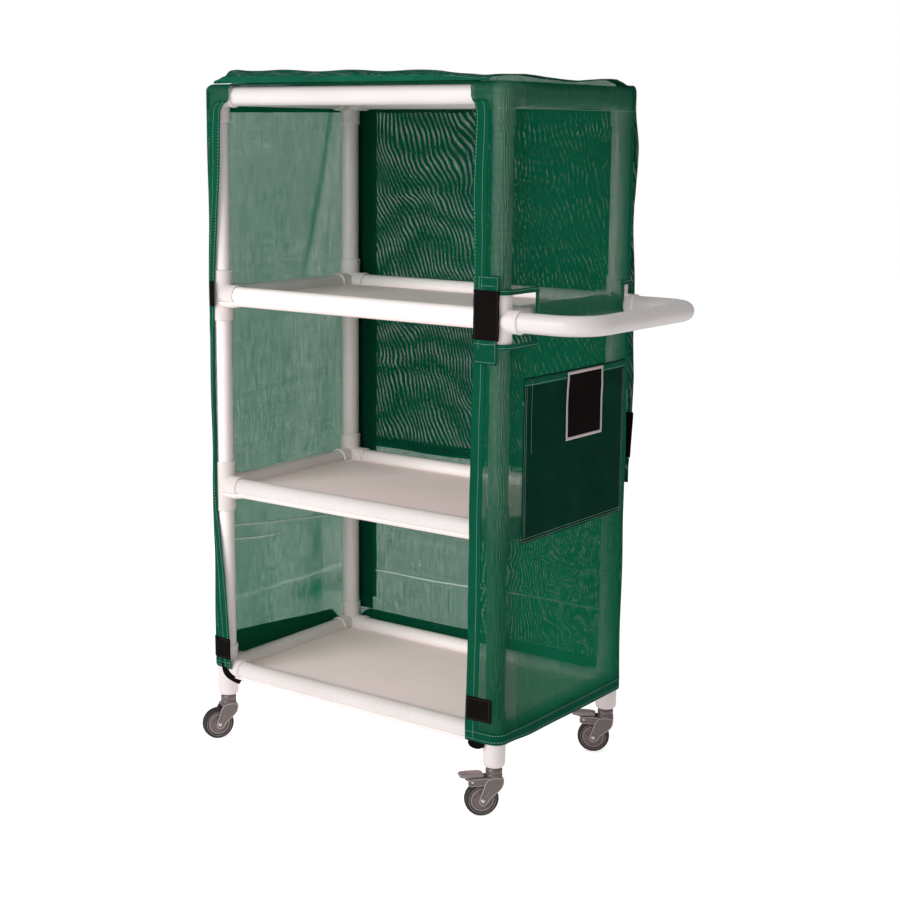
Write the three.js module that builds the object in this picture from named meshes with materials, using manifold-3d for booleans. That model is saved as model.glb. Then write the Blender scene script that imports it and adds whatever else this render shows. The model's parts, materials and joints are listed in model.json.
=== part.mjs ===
// Linen trolley: PVC pipe frame on four stem casters, three shelf trays, push handle,
// net cover with a roll-over flap. Millimetres, +Z up, +X towards the handle end, -Y is the
// open front. Everything is built about the middle of the four posts; the group is then
// moved so that the origin lies on the floor under the middle of the whole outline.
import * as THREE from 'three';
import { mergeVertices } from 'three/addons/utils/BufferGeometryUtils.js';
import Module from 'manifold-3d';

const wasm = await Module();
wasm.setup();
const { Manifold, Mesh } = wasm;

// ---- shared sizes ----------------------------------------------------------------
const HALF_X = 775 / 2;        // middle of the frame to a post axis
const HALF_Y = 465 / 2;
const LEVELS = { low: 175, mid: 620, up: 1067, top: 1514 };   // rail axis heights
const HANDLE_Z = 1062.5;       // push handle axis height
const OUTLINE_X = 85.305;      // middle of the outline, from the middle of the posts
const OUTLINE_Y = -17.595;

const GAP = 0.3;               // clearance between neighbouring pieces
const OVERRUN = 5;             // how far a cutter runs past the face it opens
const FACETS = 12;             // facets of pipes, fittings and pins

const PIPE_R = 21.1;
const PIPE_BORE_R = PIPE_R - 3.6;
const PIPE_INSET = PIPE_R + 1.6;   // post axis to the end of a rail or of the handle
const POST_TOP = LEVELS.top + 17;

const FIT_R = 24.3;            // fitting sleeve radius
const FIT_BORE_R = PIPE_R + GAP;
const FIT_HALF_H = 58;         // upright sleeve, half height
const FIT_REACH = 52;          // sideways sleeve, from the post axis
const LEG_BOTTOM = 108;        // underside of the leg socket
const SOCKET_FLOOR = 137;      // the post stands just above this
const STEM_R = 5.5;            // caster stem

const SKIN = 1.6;              // thickness of the net cover and flap
const COVER_IN = 27;           // post axis to the cover's inner face
const COVER_OUT = COVER_IN + SKIN;
const COVER_CEILING = LEVELS.top + 25.2;
const COVER_TOP = COVER_CEILING + SKIN;
const RETURN_X = 340;          // free edge of the right front hem

const corner = (name, sideX, sideY, swivel) =>
  ({ name, sideX, sideY, swivel, x: sideX * HALF_X, y: sideY * HALF_Y });
const CORNERS = [              // name, side in X, side in Y, caster swivel in degrees
  corner('fl', -1, -1, 239.7),
  corner('fr', 1, -1, 227.6),
  corner('bl', -1, 1, 222.0),
  corner('br', 1, 1, 209.8),
];

// ---- solid helpers ---------------------------------------------------------------
function solid(shape) {
  shape.deleteAttribute('normal');
  shape.deleteAttribute('uv');
  const welded = mergeVertices(shape, 1e-4);
  return new Manifold(new Mesh({
    numProp: 3,
    vertProperties: new Float32Array(welded.attributes.position.array),
    triVerts: new Uint32Array(welded.index.array),
  }));
}

function flatGeometry(body) {
  const mesh = body.getMesh();
  const indexed = new THREE.BufferGeometry();
  indexed.setAttribute('position', new THREE.BufferAttribute(mesh.vertProperties, 3));
  indexed.setIndex(new THREE.BufferAttribute(mesh.triVerts, 1));
  const flat = indexed.toNonIndexed();
  flat.computeVertexNormals();
  return flat;
}

// Cylinder along an axis. The centre is given in the other two axes, in x, y, z order.
function rod(axis, radius, [from, to], [first, second]) {
  const cylinder = new THREE.CylinderGeometry(radius, radius, Math.abs(to - from), FACETS);
  const middle = (from + to) / 2;
  if (axis === 'x') {
    cylinder.rotateZ(-Math.PI / 2);
    cylinder.translate(middle, first, second);
  } else if (axis === 'y') {
    cylinder.translate(first, middle, second);
  } else {
    cylinder.rotateX(Math.PI / 2);
    cylinder.translate(first, second, middle);
  }
  return solid(cylinder);
}

// Box from its range along each axis; the two ends of a range may come in either order.
function box(...ranges) {
  const block = new THREE.BoxGeometry(...ranges.map(([from, to]) => Math.abs(to - from)));
  block.translate(...ranges.map(([from, to]) => (from + to) / 2));
  return solid(block);
}

// Solid of revolution about Z from a closed [radius, z] profile.
function turned(profile, facets) {
  const points = [...profile, profile[0]].map(([r, z]) => new THREE.Vector2(r, z));
  const lathe = new THREE.LatheGeometry(points, facets);
  lathe.rotateX(Math.PI / 2);
  return solid(lathe);
}

// Slab with an [x, z] outline, filling the given range in Y.
function slab(outline, [yFront, yBack]) {
  const shape = new THREE.Shape(outline.map(([x, z]) => new THREE.Vector2(x, z)));
  const block = new THREE.ExtrudeGeometry(shape, {
    depth: yBack - yFront,
    bevelEnabled: false,
  });
  block.rotateX(Math.PI / 2);
  block.translate(0, yBack, 0);
  return solid(block);
}

function pipe(axis, [from, to], centre) {
  return rod(axis, PIPE_R, [from, to], centre)
    .subtract(rod(axis, PIPE_BORE_R, [from - OVERRUN, to + OVERRUN], centre));
}

const around = (middle, reach) => [middle - reach, middle + reach];
const union = (...bodies) => Manifold.union(bodies);

// ---- materials -------------------------------------------------------------------
const LOOKS = {
  pipe: { color: 0xe9e4e2, roughness: 0.32, metalness: 0 },
  fitting: { color: 0xe6e1df, roughness: 0.36, metalness: 0 },
  tray: { color: 0xbdb3b0, roughness: 0.5, metalness: 0 },
  net: { color: 0x0a4a36, roughness: 0.82, metalness: 0 },
  flap: { color: 0x0b503a, roughness: 0.82, metalness: 0 },
  pocket: { color: 0x0d3529, roughness: 0.6, metalness: 0 },
  card: { color: 0x171110, roughness: 0.55, metalness: 0 },
  strap: { color: 0x141010, roughness: 0.9, metalness: 0 },
  fork: { color: 0x6b6461, roughness: 0.42, metalness: 0.75 },
  axle: { color: 0xcfccca, roughness: 0.25, metalness: 0.9 },
  wheel: { color: 0x34302f, roughness: 0.6, metalness: 0 },
  pedal: { color: 0x55504e, roughness: 0.45, metalness: 0.7 },
};

const group = new THREE.Group();
group.name = 'linen_trolley';

function add(name, body, look) {
  const material = new THREE.MeshStandardMaterial(LOOKS[look]);
  const mesh = new THREE.Mesh(flatGeometry(body), material);
  mesh.name = name;
  group.add(mesh);
}

// ---- posts and rails -------------------------------------------------------------
function addPosts() {
  for (const { name, x, y } of CORNERS) {
    add('post_' + name, pipe('z', [SOCKET_FLOOR + GAP, POST_TOP], [x, y]), 'pipe');
  }
}

function addRails() {
  const alongX = around(0, HALF_X - PIPE_INSET);
  const alongY = around(0, HALF_Y - PIPE_INSET);
  for (const [level, z] of Object.entries(LEVELS)) {
    add(`rail_front_${level}`, pipe('x', alongX, [-HALF_Y, z]), 'pipe');
    add(`rail_back_${level}`, pipe('x', alongX, [HALF_Y, z]), 'pipe');
    add(`rail_left_${level}`, pipe('y', alongY, [-HALF_X, z]), 'pipe');
    add(`rail_right_${level}`, pipe('y', alongY, [HALF_X, z]), 'pipe');
  }
}

// ---- fittings --------------------------------------------------------------------
// Domed corner over the post end.
function topFitting(x, y, z) {
  const dome = new THREE.SphereGeometry(FIT_R, FACETS, 12);
  dome.rotateX(Math.PI / 2);
  dome.translate(x, y, z);
  return {
    body: union(rod('z', FIT_R, [z - FIT_HALF_H, z], [x, y]), solid(dome)),
    bore: rod('z', FIT_BORE_R, [z - FIT_HALF_H - OVERRUN, POST_TOP + GAP], [x, y]),
  };
}

// Leg socket, closed below the post but for the caster stem hole.
function legFitting(x, y, z) {
  const leg = turned([
    [0, LEG_BOTTOM], [FIT_R - 6, LEG_BOTTOM], [FIT_R - 1.8, LEG_BOTTOM + 1.8],
    [FIT_R, LEG_BOTTOM + 6], [FIT_R, z], [0, z],
  ], FACETS).translate([x, y, 0]);
  return {
    body: union(leg, rod('z', FIT_R, [z - 1, z + FIT_HALF_H], [x, y])),
    bore: union(
      rod('z', FIT_BORE_R, [SOCKET_FLOOR, z + FIT_HALF_H + OVERRUN], [x, y]),
      rod('z', STEM_R + GAP, [LEG_BOTTOM - OVERRUN, SOCKET_FLOOR + 1], [x, y]),
    ),
  };
}

function throughFitting(x, y, z) {
  return {
    body: rod('z', FIT_R, around(z, FIT_HALF_H), [x, y]),
    bore: rod('z', FIT_BORE_R, around(z, FIT_HALF_H + OVERRUN), [x, y]),
  };
}

// The two sideways sleeves of a corner, pointing at its neighbours.
function arms({ sideX, sideY, x, y }, radius, z, reach) {
  return union(
    rod('x', radius, [x, x - sideX * reach], [y, z]),
    rod('y', radius, [y, y - sideY * reach], [x, z]),
  );
}

function addFittings() {
  const uprights = { low: legFitting, mid: throughFitting, up: throughFitting, top: topFitting };
  for (const post of CORNERS) {
    const { name, sideX, x, y } = post;
    for (const [level, z] of Object.entries(LEVELS)) {
      let { body, bore } = uprights[level](x, y, z);
      body = body.add(arms(post, FIT_R, z, FIT_REACH));
      bore = bore.add(arms(post, FIT_BORE_R, z, FIT_REACH + OVERRUN));
      if (level === 'up' && sideX > 0) {                      // sleeve for the push handle
        body = body.add(rod('x', FIT_R, [x, x + FIT_REACH], [y, HANDLE_Z]));
        bore = bore.add(rod('x', FIT_BORE_R, [x, x + FIT_REACH + OVERRUN], [y, HANDLE_Z]));
      }
      const kind = level === 'top' ? 'elbow' : 'tee';
      add(`${kind}_${name}_${level}`, body.subtract(bore), 'fitting');
    }
  }
}

// ---- shelf trays -----------------------------------------------------------------
// A flat sheet with a cradle round the underside of each rail, wider at the fittings.
// Heights are from the rail axis.
const SHEET_TOP = -3;
const SHEET_THICK = 3;
const SHEET_INSET = 12;        // post axis to the sheet's edge
const LIP_Z = -4.2;            // upper edge of the cradle
const OUTER_LIP_Z = -13;       // its outer edge stops lower than its inner one
const LIP_R = 24.6;            // cradle radius along the rails
const LIP_FIT_R = 26.8;        // cradle radius at the fittings
const LIP_INSET = 20;          // post axis to the cradle's end
const COLLAR_REACH = FIT_REACH + 3;
const SLOT_CLEAR = 0.5;        // the sheet's edge stands this clear of rails and fittings
const CORNER_R = 31;           // relief round each post, inner quarter

function shelfTray(z) {
  const cradles = [];
  const cuts = [];
  for (const [axis, half, offset] of [['x', HALF_X, HALF_Y], ['y', HALF_Y, HALF_X]]) {
    for (const side of [-1, 1]) {
      const centre = [side * offset, z];
      const slot = (radius, along) => {
        const across = [side * offset, side * (offset - radius - SLOT_CLEAR)];
        const height = [z + LIP_Z, z + 5];
        return axis === 'x' ? box(along, across, height) : box(across, along, height);
      };
      cradles.push(rod(axis, LIP_R, around(0, half - LIP_INSET), centre));
      cuts.push(rod(axis, FIT_BORE_R, [-half, half], centre), slot(PIPE_R, [-half, half]));
      for (const end of [-1, 1]) {
        const sleeve = [end * half, end * (half - FIT_REACH - GAP)];
        cradles.push(rod(axis, LIP_FIT_R, [end * half, end * (half - COLLAR_REACH)], centre));
        cuts.push(rod(axis, FIT_R + GAP, sleeve, centre), slot(FIT_R, sleeve));
      }
    }
  }
  for (const { sideX, sideY, x, y } of CORNERS) {
    const quarter = box([x, x - sideX * 60], [y, y - sideY * 60], around(z, 40));
    cuts.push(rod('z', FIT_R + GAP, around(z, 40), [x, y]));
    cuts.push(quarter.intersect(rod('z', CORNER_R, around(z, 41), [x, y])));
  }
  if (z === LEVELS.up) {                                      // clear of the handle sleeves
    for (const y of [-HALF_Y, HALF_Y]) {
      cuts.push(rod('x', FIT_R + GAP, [HALF_X, HALF_X + 60], [y, HANDLE_Z]));
    }
  }

  const far = 60;                                             // beyond all of the cradle
  const above = (height) =>
    box(around(0, HALF_X + far), around(0, HALF_Y + far), [z + height, z + far]);
  const withinPosts = box([-HALF_X, HALF_X], [-HALF_Y, HALF_Y], around(z, far + OVERRUN));
  const sheet = box(
    around(0, HALF_X - SHEET_INSET),
    around(0, HALF_Y - SHEET_INSET),
    [z + SHEET_TOP - SHEET_THICK, z + SHEET_TOP],
  );
  return union(...cradles)
    .subtract(above(LIP_Z))
    .subtract(above(OUTER_LIP_Z).subtract(withinPosts))
    .add(sheet)
    .subtract(union(...cuts));
}

function addTrays() {
  for (const level of ['low', 'mid', 'up']) {
    add('shelf_tray_' + level, shelfTray(LEVELS[level]), 'tray');
  }
}

// ---- push handle -----------------------------------------------------------------
const GRIP_X = 590;            // axis of the grip
const BEND_R = 76;
const BEND_STEPS = 5;

// Path through points, the same share of the parameter to each stretch, so that the
// extrusion puts one ring at every point.
class Polyline extends THREE.Curve {
  constructor(points) {
    super();
    this.points = points;
  }
  getPoint(t, target = new THREE.Vector3()) {
    const count = this.points.length - 1;
    const place = Math.min(t * count, count - 1e-9);
    const i = Math.floor(place);
    return target.copy(this.points[i]).lerp(this.points[i + 1], place - i);
  }
  getPointAt(t, target) {
    return this.getPoint(t, target);
  }
}

function handlePoints() {
  const at = (x, y) => new THREE.Vector3(x, y, HANDLE_Z);
  const startX = HALF_X + PIPE_INSET;
  const bendX = GRIP_X - BEND_R;
  const bendY = HALF_Y - BEND_R;
  const pull = 0.5523 * BEND_R;                               // Bezier arm of a quarter circle
  const frontBend = new THREE.CubicBezierCurve3(
    at(bendX, -HALF_Y), at(bendX + pull, -HALF_Y), at(GRIP_X, -bendY - pull), at(GRIP_X, -bendY),
  );
  const backBend = new THREE.CubicBezierCurve3(
    at(GRIP_X, bendY), at(GRIP_X, bendY + pull), at(bendX + pull, HALF_Y), at(bendX, HALF_Y),
  );
  return [
    at(startX, -HALF_Y),
    ...frontBend.getPoints(BEND_STEPS),
    ...backBend.getPoints(BEND_STEPS),
    at(startX, HALF_Y),
  ];
}

function addHandle() {
  const points = handlePoints();
  const sweep = (radius) => {
    const ring = [];
    for (let i = 0; i < FACETS; i++) {
      const angle = 2 * Math.PI * i / FACETS;
      ring.push(new THREE.Vector2(radius * Math.cos(angle), radius * Math.sin(angle)));
    }
    return solid(new THREE.ExtrudeGeometry(new THREE.Shape(ring), {
      steps: points.length - 1,
      bevelEnabled: false,
      extrudePath: new Polyline(points),
    }));
  };
  add('push_handle', sweep(PIPE_R).subtract(sweep(PIPE_BORE_R)), 'pipe');
}

// ---- net cover -------------------------------------------------------------------
const HEM_Z = 158;             // lower edge of the cover
const LEFT_HEM = [             // [z, x] up the left edge of the front opening
  [153, -351], [184, -352], [301, -361], [398, -367], [493, -378], [560, -389], [682, -394],
  [824, -394], [952, -392], [1080, -385], [1171, -378], [1306, -367], [1439, -362], [1483, -361],
];

function addCover() {
  const outer = box(
    around(0, HALF_X + COVER_OUT), around(0, HALF_Y + COVER_OUT), [HEM_Z, COVER_TOP],
  );
  const inner = box(
    around(0, HALF_X + COVER_IN), around(0, HALF_Y + COVER_IN), [HEM_Z - OVERRUN, COVER_CEILING],
  );
  const opening = slab([
    [RETURN_X, HEM_Z - OVERRUN],
    [RETURN_X, COVER_CEILING],
    [LEFT_HEM.at(-1)[1], COVER_CEILING],
    ...LEFT_HEM.map(([z, x]) => [x, z]).reverse(),
  ], [-HALF_Y - COVER_OUT - 10, -HALF_Y - COVER_IN + 10]);
  const outside = HALF_X + COVER_OUT + OVERRUN;
  const frontNotch = box(                                     // front leg of the handle
    [RETURN_X - 10, outside],
    [-HALF_Y - COVER_OUT - OVERRUN, -146],
    around(LEVELS.up, 50),
  );
  const backNotch = box(                                      // back leg of the handle
    [HALF_X + COVER_IN - OVERRUN, outside],
    [HALF_Y - 28, HALF_Y + 25.6],
    around(HANDLE_Z, 44),
  );
  const cover = outer.subtract(inner).subtract(union(opening, frontNotch, backNotch));
  add('net_cover', cover, 'net');
}

// ---- roll-over flap: lies on the cover's top and hangs down its back --------------
const FLAP_HALF_X = 405;
const FLAP_BOTTOM = 646;
const FLAP_FRONT_LAP = 2.4;    // top panel past the cover's front face
const FLAP_BACK_LAP = 0.3;     // top panel past the back panel's inner face

function addFlap() {
  const wide = [-FLAP_HALF_X, FLAP_HALF_X];
  const under = COVER_TOP + GAP;
  const backY = HALF_Y + COVER_OUT + GAP;
  const topY = [-HALF_Y - COVER_OUT - FLAP_FRONT_LAP, backY + FLAP_BACK_LAP];
  add('flap_top', box(wide, topY, [under, under + SKIN]), 'flap');
  add('flap_back', box(wide, [backY, backY + SKIN], [FLAP_BOTTOM, COVER_TOP]), 'flap');
}

// ---- pocket and card on the handle end, strap by the front notch ------------------
const POCKET = { y: [-187, 223], z: [591, 940], depth: 6, wall: 1.4 };
const CARD = { y: [-29, 118], z: [789, 938], thick: 1 };
const STRAP = { x: [RETURN_X + 1, 403], z: [976, 1155], thick: 1.2 };

function addPocketCardStrap() {
  const { y, z, depth, wall } = POCKET;
  const inX = HALF_X + COVER_OUT + GAP;
  const outX = inX + depth;
  const hollow = box(                                         // open at the top
    [inX + wall, outX - wall], [y[0] + wall, y[1] - wall], [z[0] + wall, z[1] + 10],
  );
  add('cover_pocket', box([inX, outX], y, z).subtract(hollow), 'pocket');
  const cardX = outX + GAP;
  add('label_card', box([cardX, cardX + CARD.thick], CARD.y, CARD.z), 'card');
  const strapY = -HALF_Y - COVER_OUT - GAP;
  add('notch_strap', box(STRAP.x, [strapY - STRAP.thick, strapY], STRAP.z), 'strap');
}

// ---- casters ---------------------------------------------------------------------
// Built about the stem axis, trailing along +X, then swivelled and put under the leg.
const WHEEL_R = 37.5;
const WHEEL_HALF_W = 12;
const TRAIL = 27;              // stem axis to the axle
const AXLE_R = 4;
const AXLE_HEAD_R = 7.2;
const CHEEK_IN = 14.2;         // inner and outer faces of the fork cheeks
const CHEEK_OUT = CHEEK_IN + 2.6;
const AXLE_END = CHEEK_OUT + 3.4;
const CROWN_Z = WHEEL_R + 44;  // underside of the fork crown

function casterFork(braked) {
  const head = turned([                                       // swivel head and stem
    [0, CROWN_Z], [16, CROWN_Z], [18.5, CROWN_Z + 3], [18.5, LEG_BOTTOM - 5],
    [16.5, LEG_BOTTOM - 0.5], [STEM_R, LEG_BOTTOM - 0.5],
    [STEM_R, SOCKET_FLOOR - 2], [0, SOCKET_FLOOR - 2],
  ], 16);
  const width = [-CHEEK_OUT, CHEEK_OUT];
  const gapWidth = [-CHEEK_IN, CHEEK_IN];
  let fork = slab([
    [-17, CROWN_Z + 6], [-19.5, CROWN_Z - 6], [-14, CROWN_Z - 18],
    [TRAIL - 10, WHEEL_R - 6], [TRAIL - 7, WHEEL_R - 9.5], [TRAIL, WHEEL_R - 11.5],
    [TRAIL + 7, WHEEL_R - 9], [TRAIL + 10, WHEEL_R - 1],
    [TRAIL - 4, CROWN_Z - 6], [TRAIL - 12, CROWN_Z + 6],
  ], width);
  if (braked) {                                               // arm carrying the pedal
    fork = fork.add(slab([
      [0, CROWN_Z + 6], [0, WHEEL_R + 34], [54, WHEEL_R + 32.5], [60, WHEEL_R + 38],
      [60, CROWN_Z + 2], [56, CROWN_Z + 6],
    ], width));
  }
  fork = fork
    .subtract(box([-60, 90], gapWidth, [0, CROWN_Z]))
    .add(head)
    .subtract(rod('y', AXLE_R + GAP, around(0, CHEEK_OUT + OVERRUN), [TRAIL, WHEEL_R]));
  if (braked) {                                               // opens the arm's top
    fork = fork.subtract(box([20, 90], gapWidth, [CROWN_Z - 5, CROWN_Z + 20]));
  }
  return fork;
}

// Axle rivet with a head at each side.
function casterAxle() {
  const centre = [TRAIL, WHEEL_R];
  return union(
    rod('y', AXLE_R, [-AXLE_END, AXLE_END], centre),
    rod('y', AXLE_HEAD_R, [CHEEK_OUT + GAP, AXLE_END], centre),
    rod('y', AXLE_HEAD_R, [-AXLE_END, -CHEEK_OUT - GAP], centre),
  );
}

// Bevelled tread, recessed hub faces, boss standing out by the axle.
function casterWheel() {
  const side = [               // [radius, distance in from the tread's side face]
    [AXLE_R + GAP, -1], [11, -1], [12.5, 2], [25.5, 2], [27, 0], [33.5, 0], [WHEEL_R, 5.5],
  ];
  return turned([
    ...side.map(([r, inset]) => [r, inset - WHEEL_HALF_W]),
    ...side.map(([r, inset]) => [r, WHEEL_HALF_W - inset]).reverse(),
  ], 20).rotate([90, 0, 0]).translate([TRAIL, 0, WHEEL_R]);
}

function brakePedal() {
  const outline = [            // [x, z] from the point where the pedal meets the arm
    [-6, -2.5], [-24, 5], [-28, 12], [-20, 17.5], [24, 17.5],
    [28, 14], [27, 9], [10, 6.5], [6, -2.5],
  ];
  return slab(outline.map(([x, z]) => [50 + x, CROWN_Z - 1 + z]), [-12, 12]);
}

function addCasters() {
  for (const { name, sideX, swivel, x, y } of CORNERS) {
    const braked = sideX > 0;
    const put = (piece, body, look) =>
      add(`${piece}_${name}`, body.rotate([0, 0, swivel]).translate([x, y, 0]), look);
    put('caster_fork', casterFork(braked), 'fork');
    put('caster_axle', casterAxle(), 'axle');
    put('caster_wheel', casterWheel(), 'wheel');
    if (braked) put('brake_pedal', brakePedal(), 'pedal');
  }
}

addPosts();
addRails();
addFittings();
addTrays();
addHandle();
addCover();
addFlap();
addPocketCardStrap();
addCasters();
group.position.set(-OUTLINE_X, -OUTLINE_Y, 0);

export default group;
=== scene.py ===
"""Net-covered shelf trolley on casters, built on the pieces of its CAD frame.

Four plastic pipe posts with rails at four levels carry three shelf trays and a push handle at the
right. A net cover with a flap hangs round the frame. +X is right, +Y is back, +Z is up. Shapes are
written from the middle of the four posts on the ground and moved by OFF into the frame's own space.
"""
import json
import math
import bmesh
import bpy
import numpy as np
from mathutils import Matrix, Vector, noise

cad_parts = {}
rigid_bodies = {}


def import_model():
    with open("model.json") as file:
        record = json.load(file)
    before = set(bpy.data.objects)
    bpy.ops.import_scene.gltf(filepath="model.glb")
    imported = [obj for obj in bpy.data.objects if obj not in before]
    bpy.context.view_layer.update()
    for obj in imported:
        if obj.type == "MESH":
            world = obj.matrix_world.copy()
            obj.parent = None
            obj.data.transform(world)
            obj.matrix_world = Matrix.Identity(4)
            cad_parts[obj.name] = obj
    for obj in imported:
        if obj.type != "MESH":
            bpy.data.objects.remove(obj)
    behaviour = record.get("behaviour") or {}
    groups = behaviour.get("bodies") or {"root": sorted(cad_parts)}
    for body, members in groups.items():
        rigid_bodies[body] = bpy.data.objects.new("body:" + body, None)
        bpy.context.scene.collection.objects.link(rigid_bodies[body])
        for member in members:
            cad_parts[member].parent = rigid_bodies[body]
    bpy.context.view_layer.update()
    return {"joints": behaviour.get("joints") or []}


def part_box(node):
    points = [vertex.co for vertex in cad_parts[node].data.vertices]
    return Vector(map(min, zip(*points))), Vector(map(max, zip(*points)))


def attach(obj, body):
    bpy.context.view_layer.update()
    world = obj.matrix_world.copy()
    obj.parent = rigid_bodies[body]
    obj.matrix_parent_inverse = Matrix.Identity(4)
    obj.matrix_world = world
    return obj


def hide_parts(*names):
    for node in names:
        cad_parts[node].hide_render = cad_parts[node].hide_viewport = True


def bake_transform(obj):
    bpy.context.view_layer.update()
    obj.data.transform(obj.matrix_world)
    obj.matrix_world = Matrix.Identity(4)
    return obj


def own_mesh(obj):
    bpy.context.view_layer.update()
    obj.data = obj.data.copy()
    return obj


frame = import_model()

# ------------------------------------------------------------------ sizes read from the frame
OFF = (Vector(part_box("post_fl")[0]) + Vector(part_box("post_br")[1])) / 2
OFF.z = 0.0


def local_box(node):
    """Lowest and highest corner of a node, from the middle of the posts."""
    lo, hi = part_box(node)
    return Vector(lo) - OFF, Vector(hi) - OFF


def middle(node):
    lo, hi = local_box(node)
    return (lo + hi) / 2


def extent(node):
    lo, hi = local_box(node)
    return hi - lo


def joint_place(joint):
    return Vector([a - b for a, b in zip(joint["pos_m"], OFF)])


ROOT = "trolley"
POST_X = middle("post_fr").x
POST_Y = middle("post_br").y
PIPE_R = extent("post_fr").x / 2
LEVELS = {k: middle("rail_front_" + k).z for k in ("low", "mid", "up", "top")}
HANDLE_Z = middle("push_handle").z
LEG_Z = local_box("tee_fl_low")[0].z
COVER_TOP = local_box("net_cover")[1].z
HEM_Z = local_box("net_cover")[0].z
FLAP_Z = middle("flap_top").z
FLAP_FOOT_Z = local_box("flap_back")[0].z
FLAP_X = local_box("flap_top")[1].x
WHEEL_R = extent("caster_wheel_fl").z / 2
JOINTS = {j["name"]: joint_place(j) for j in frame["joints"]}
CORNERS = {"fl": (-1, -1), "fr": (1, -1), "bl": (-1, 1), "br": (1, 1)}

PIPE_WALL = 0.0036
SLEEVE_R = 0.0243
SLEEVE_DROP = 0.058       # reach of the upright sleeves from the middle of a fitting
SLEEVE_REACH = 0.052      # reach of the level sleeves
COARSE = 1


# ------------------------------------------------------------------ mesh helpers
def mesh_object(name, shape, smooth=True):
    verts, faces = shape
    mesh = bpy.data.meshes.new(name)
    mesh.from_pydata([tuple(map(float, v)) for v in verts], [],
                     [tuple(int(i) for i in f) for f in faces])
    mesh.update()
    ob = bpy.data.objects.new(name, mesh)
    bpy.context.scene.collection.objects.link(ob)
    mesh.polygons.foreach_set("use_smooth", [smooth] * len(mesh.polygons))
    return ob


def fix_normals(ob):
    bm = bmesh.new()
    bm.from_mesh(ob.data)
    bmesh.ops.recalc_face_normals(bm, faces=bm.faces)
    bm.to_mesh(ob.data)
    bm.free()


def finish_piece(ob, material, body, nodes=(), sharp=None):
    """Move a piece into the frame's space, give it its material and sharp edges, hang it on its
    body and hide the frame nodes it stands for.
    """
    ob.data.transform(Matrix.Translation(OFF))
    ob.data.materials.append(material)
    if sharp is not None:
        ob.data.set_sharp_from_angle(angle=math.radians(sharp))
    if body:
        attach(ob, body)
    if nodes:
        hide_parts(*nodes)
    return ob


def solid_piece(name, shape, material, body, nodes=(), sharp=None, recalc=True):
    ob = mesh_object(name, shape)
    if recalc:
        fix_normals(ob)
    return finish_piece(ob, material, body, nodes, sharp)


def join_shapes(shapes):
    verts, faces = [], []
    for some_verts, some_faces in shapes:
        start = len(verts)
        verts += [tuple(p) for p in some_verts]
        faces += [tuple(i + start for i in f) for f in some_faces]
    return verts, faces


def band_faces(rows, size, closed=False):
    """Quads between neighbouring rings of equal size."""
    faces = []
    for i in range(rows if closed else rows - 1):
        j = (i + 1) % rows
        for k in range(size):
            n = (k + 1) % size
            faces.append((i * size + k, i * size + n, j * size + n, j * size + k))
    return faces


def end_faces(rows, size):
    return [tuple(range(size - 1, -1, -1)), tuple(range((rows - 1) * size, rows * size))]


def oval(half_a, half_b, count):
    return [(half_a * math.cos(t), half_b * math.sin(t))
            for t in np.linspace(0, 2 * math.pi, count + 1)[:-1]]


def frames_along(points, closed=False):
    """Point, tangent and two normals at each point, carried without twist."""
    points = [Vector(p) for p in points]
    n = len(points)
    tangents = []
    for i in range(n):
        before = points[(i - 1) % n] if (closed or i > 0) else points[i]
        after = points[(i + 1) % n] if (closed or i < n - 1) else points[i]
        tangents.append((after - before).normalized())
    first = tangents[0]
    up = Vector((0, 0, 1)) if abs(first.z) < 0.9 else Vector((1, 0, 0))
    normal = (up - first * up.dot(first)).normalized()
    frames = []
    for point, tangent in zip(points, tangents):
        normal = (normal - tangent * normal.dot(tangent)).normalized()
        frames.append((point, tangent, normal, tangent.cross(normal).normalized()))
    return frames


def sweep(points, ring, closed=False):
    """Carry a ring of (a, b) offsets along the two normals of a path."""
    frames = frames_along(points, closed)
    verts = [p + u * a + w * b for p, _, u, w in frames for a, b in ring]
    faces = band_faces(len(frames), len(ring), closed)
    if not closed:
        faces += end_faces(len(frames), len(ring))
    return verts, faces


def pipe(points, segments=48, bevel=0.0008):
    """Hollow frame pipe with softened end edges, as one closed body."""
    outer, inner = PIPE_R, PIPE_R - PIPE_WALL
    frames = frames_along(points)
    last = len(frames) - 1
    # path index, radius, shift along the pipe
    loops = [(0, inner + bevel, 0.0), (0, outer - bevel, 0.0), (0, outer, bevel)]
    loops += [(i, outer, 0.0) for i in range(1, last)]
    loops += [(last, outer, -bevel), (last, outer - bevel, 0.0),
              (last, inner + bevel, 0.0), (last, inner, -bevel)]
    loops += [(i, inner, 0.0) for i in range(last - 1, 0, -1)]
    loops.append((0, inner, bevel))
    verts = []
    for i, radius, shift in loops:
        p, t, u, w = frames[i]
        for k in range(segments):
            a = 2 * math.pi * k / segments
            verts.append(p + t * shift + (u * math.cos(a) + w * math.sin(a)) * radius)
    return verts, [f[::-1] for f in band_faces(len(loops), segments, closed=True)]


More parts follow.
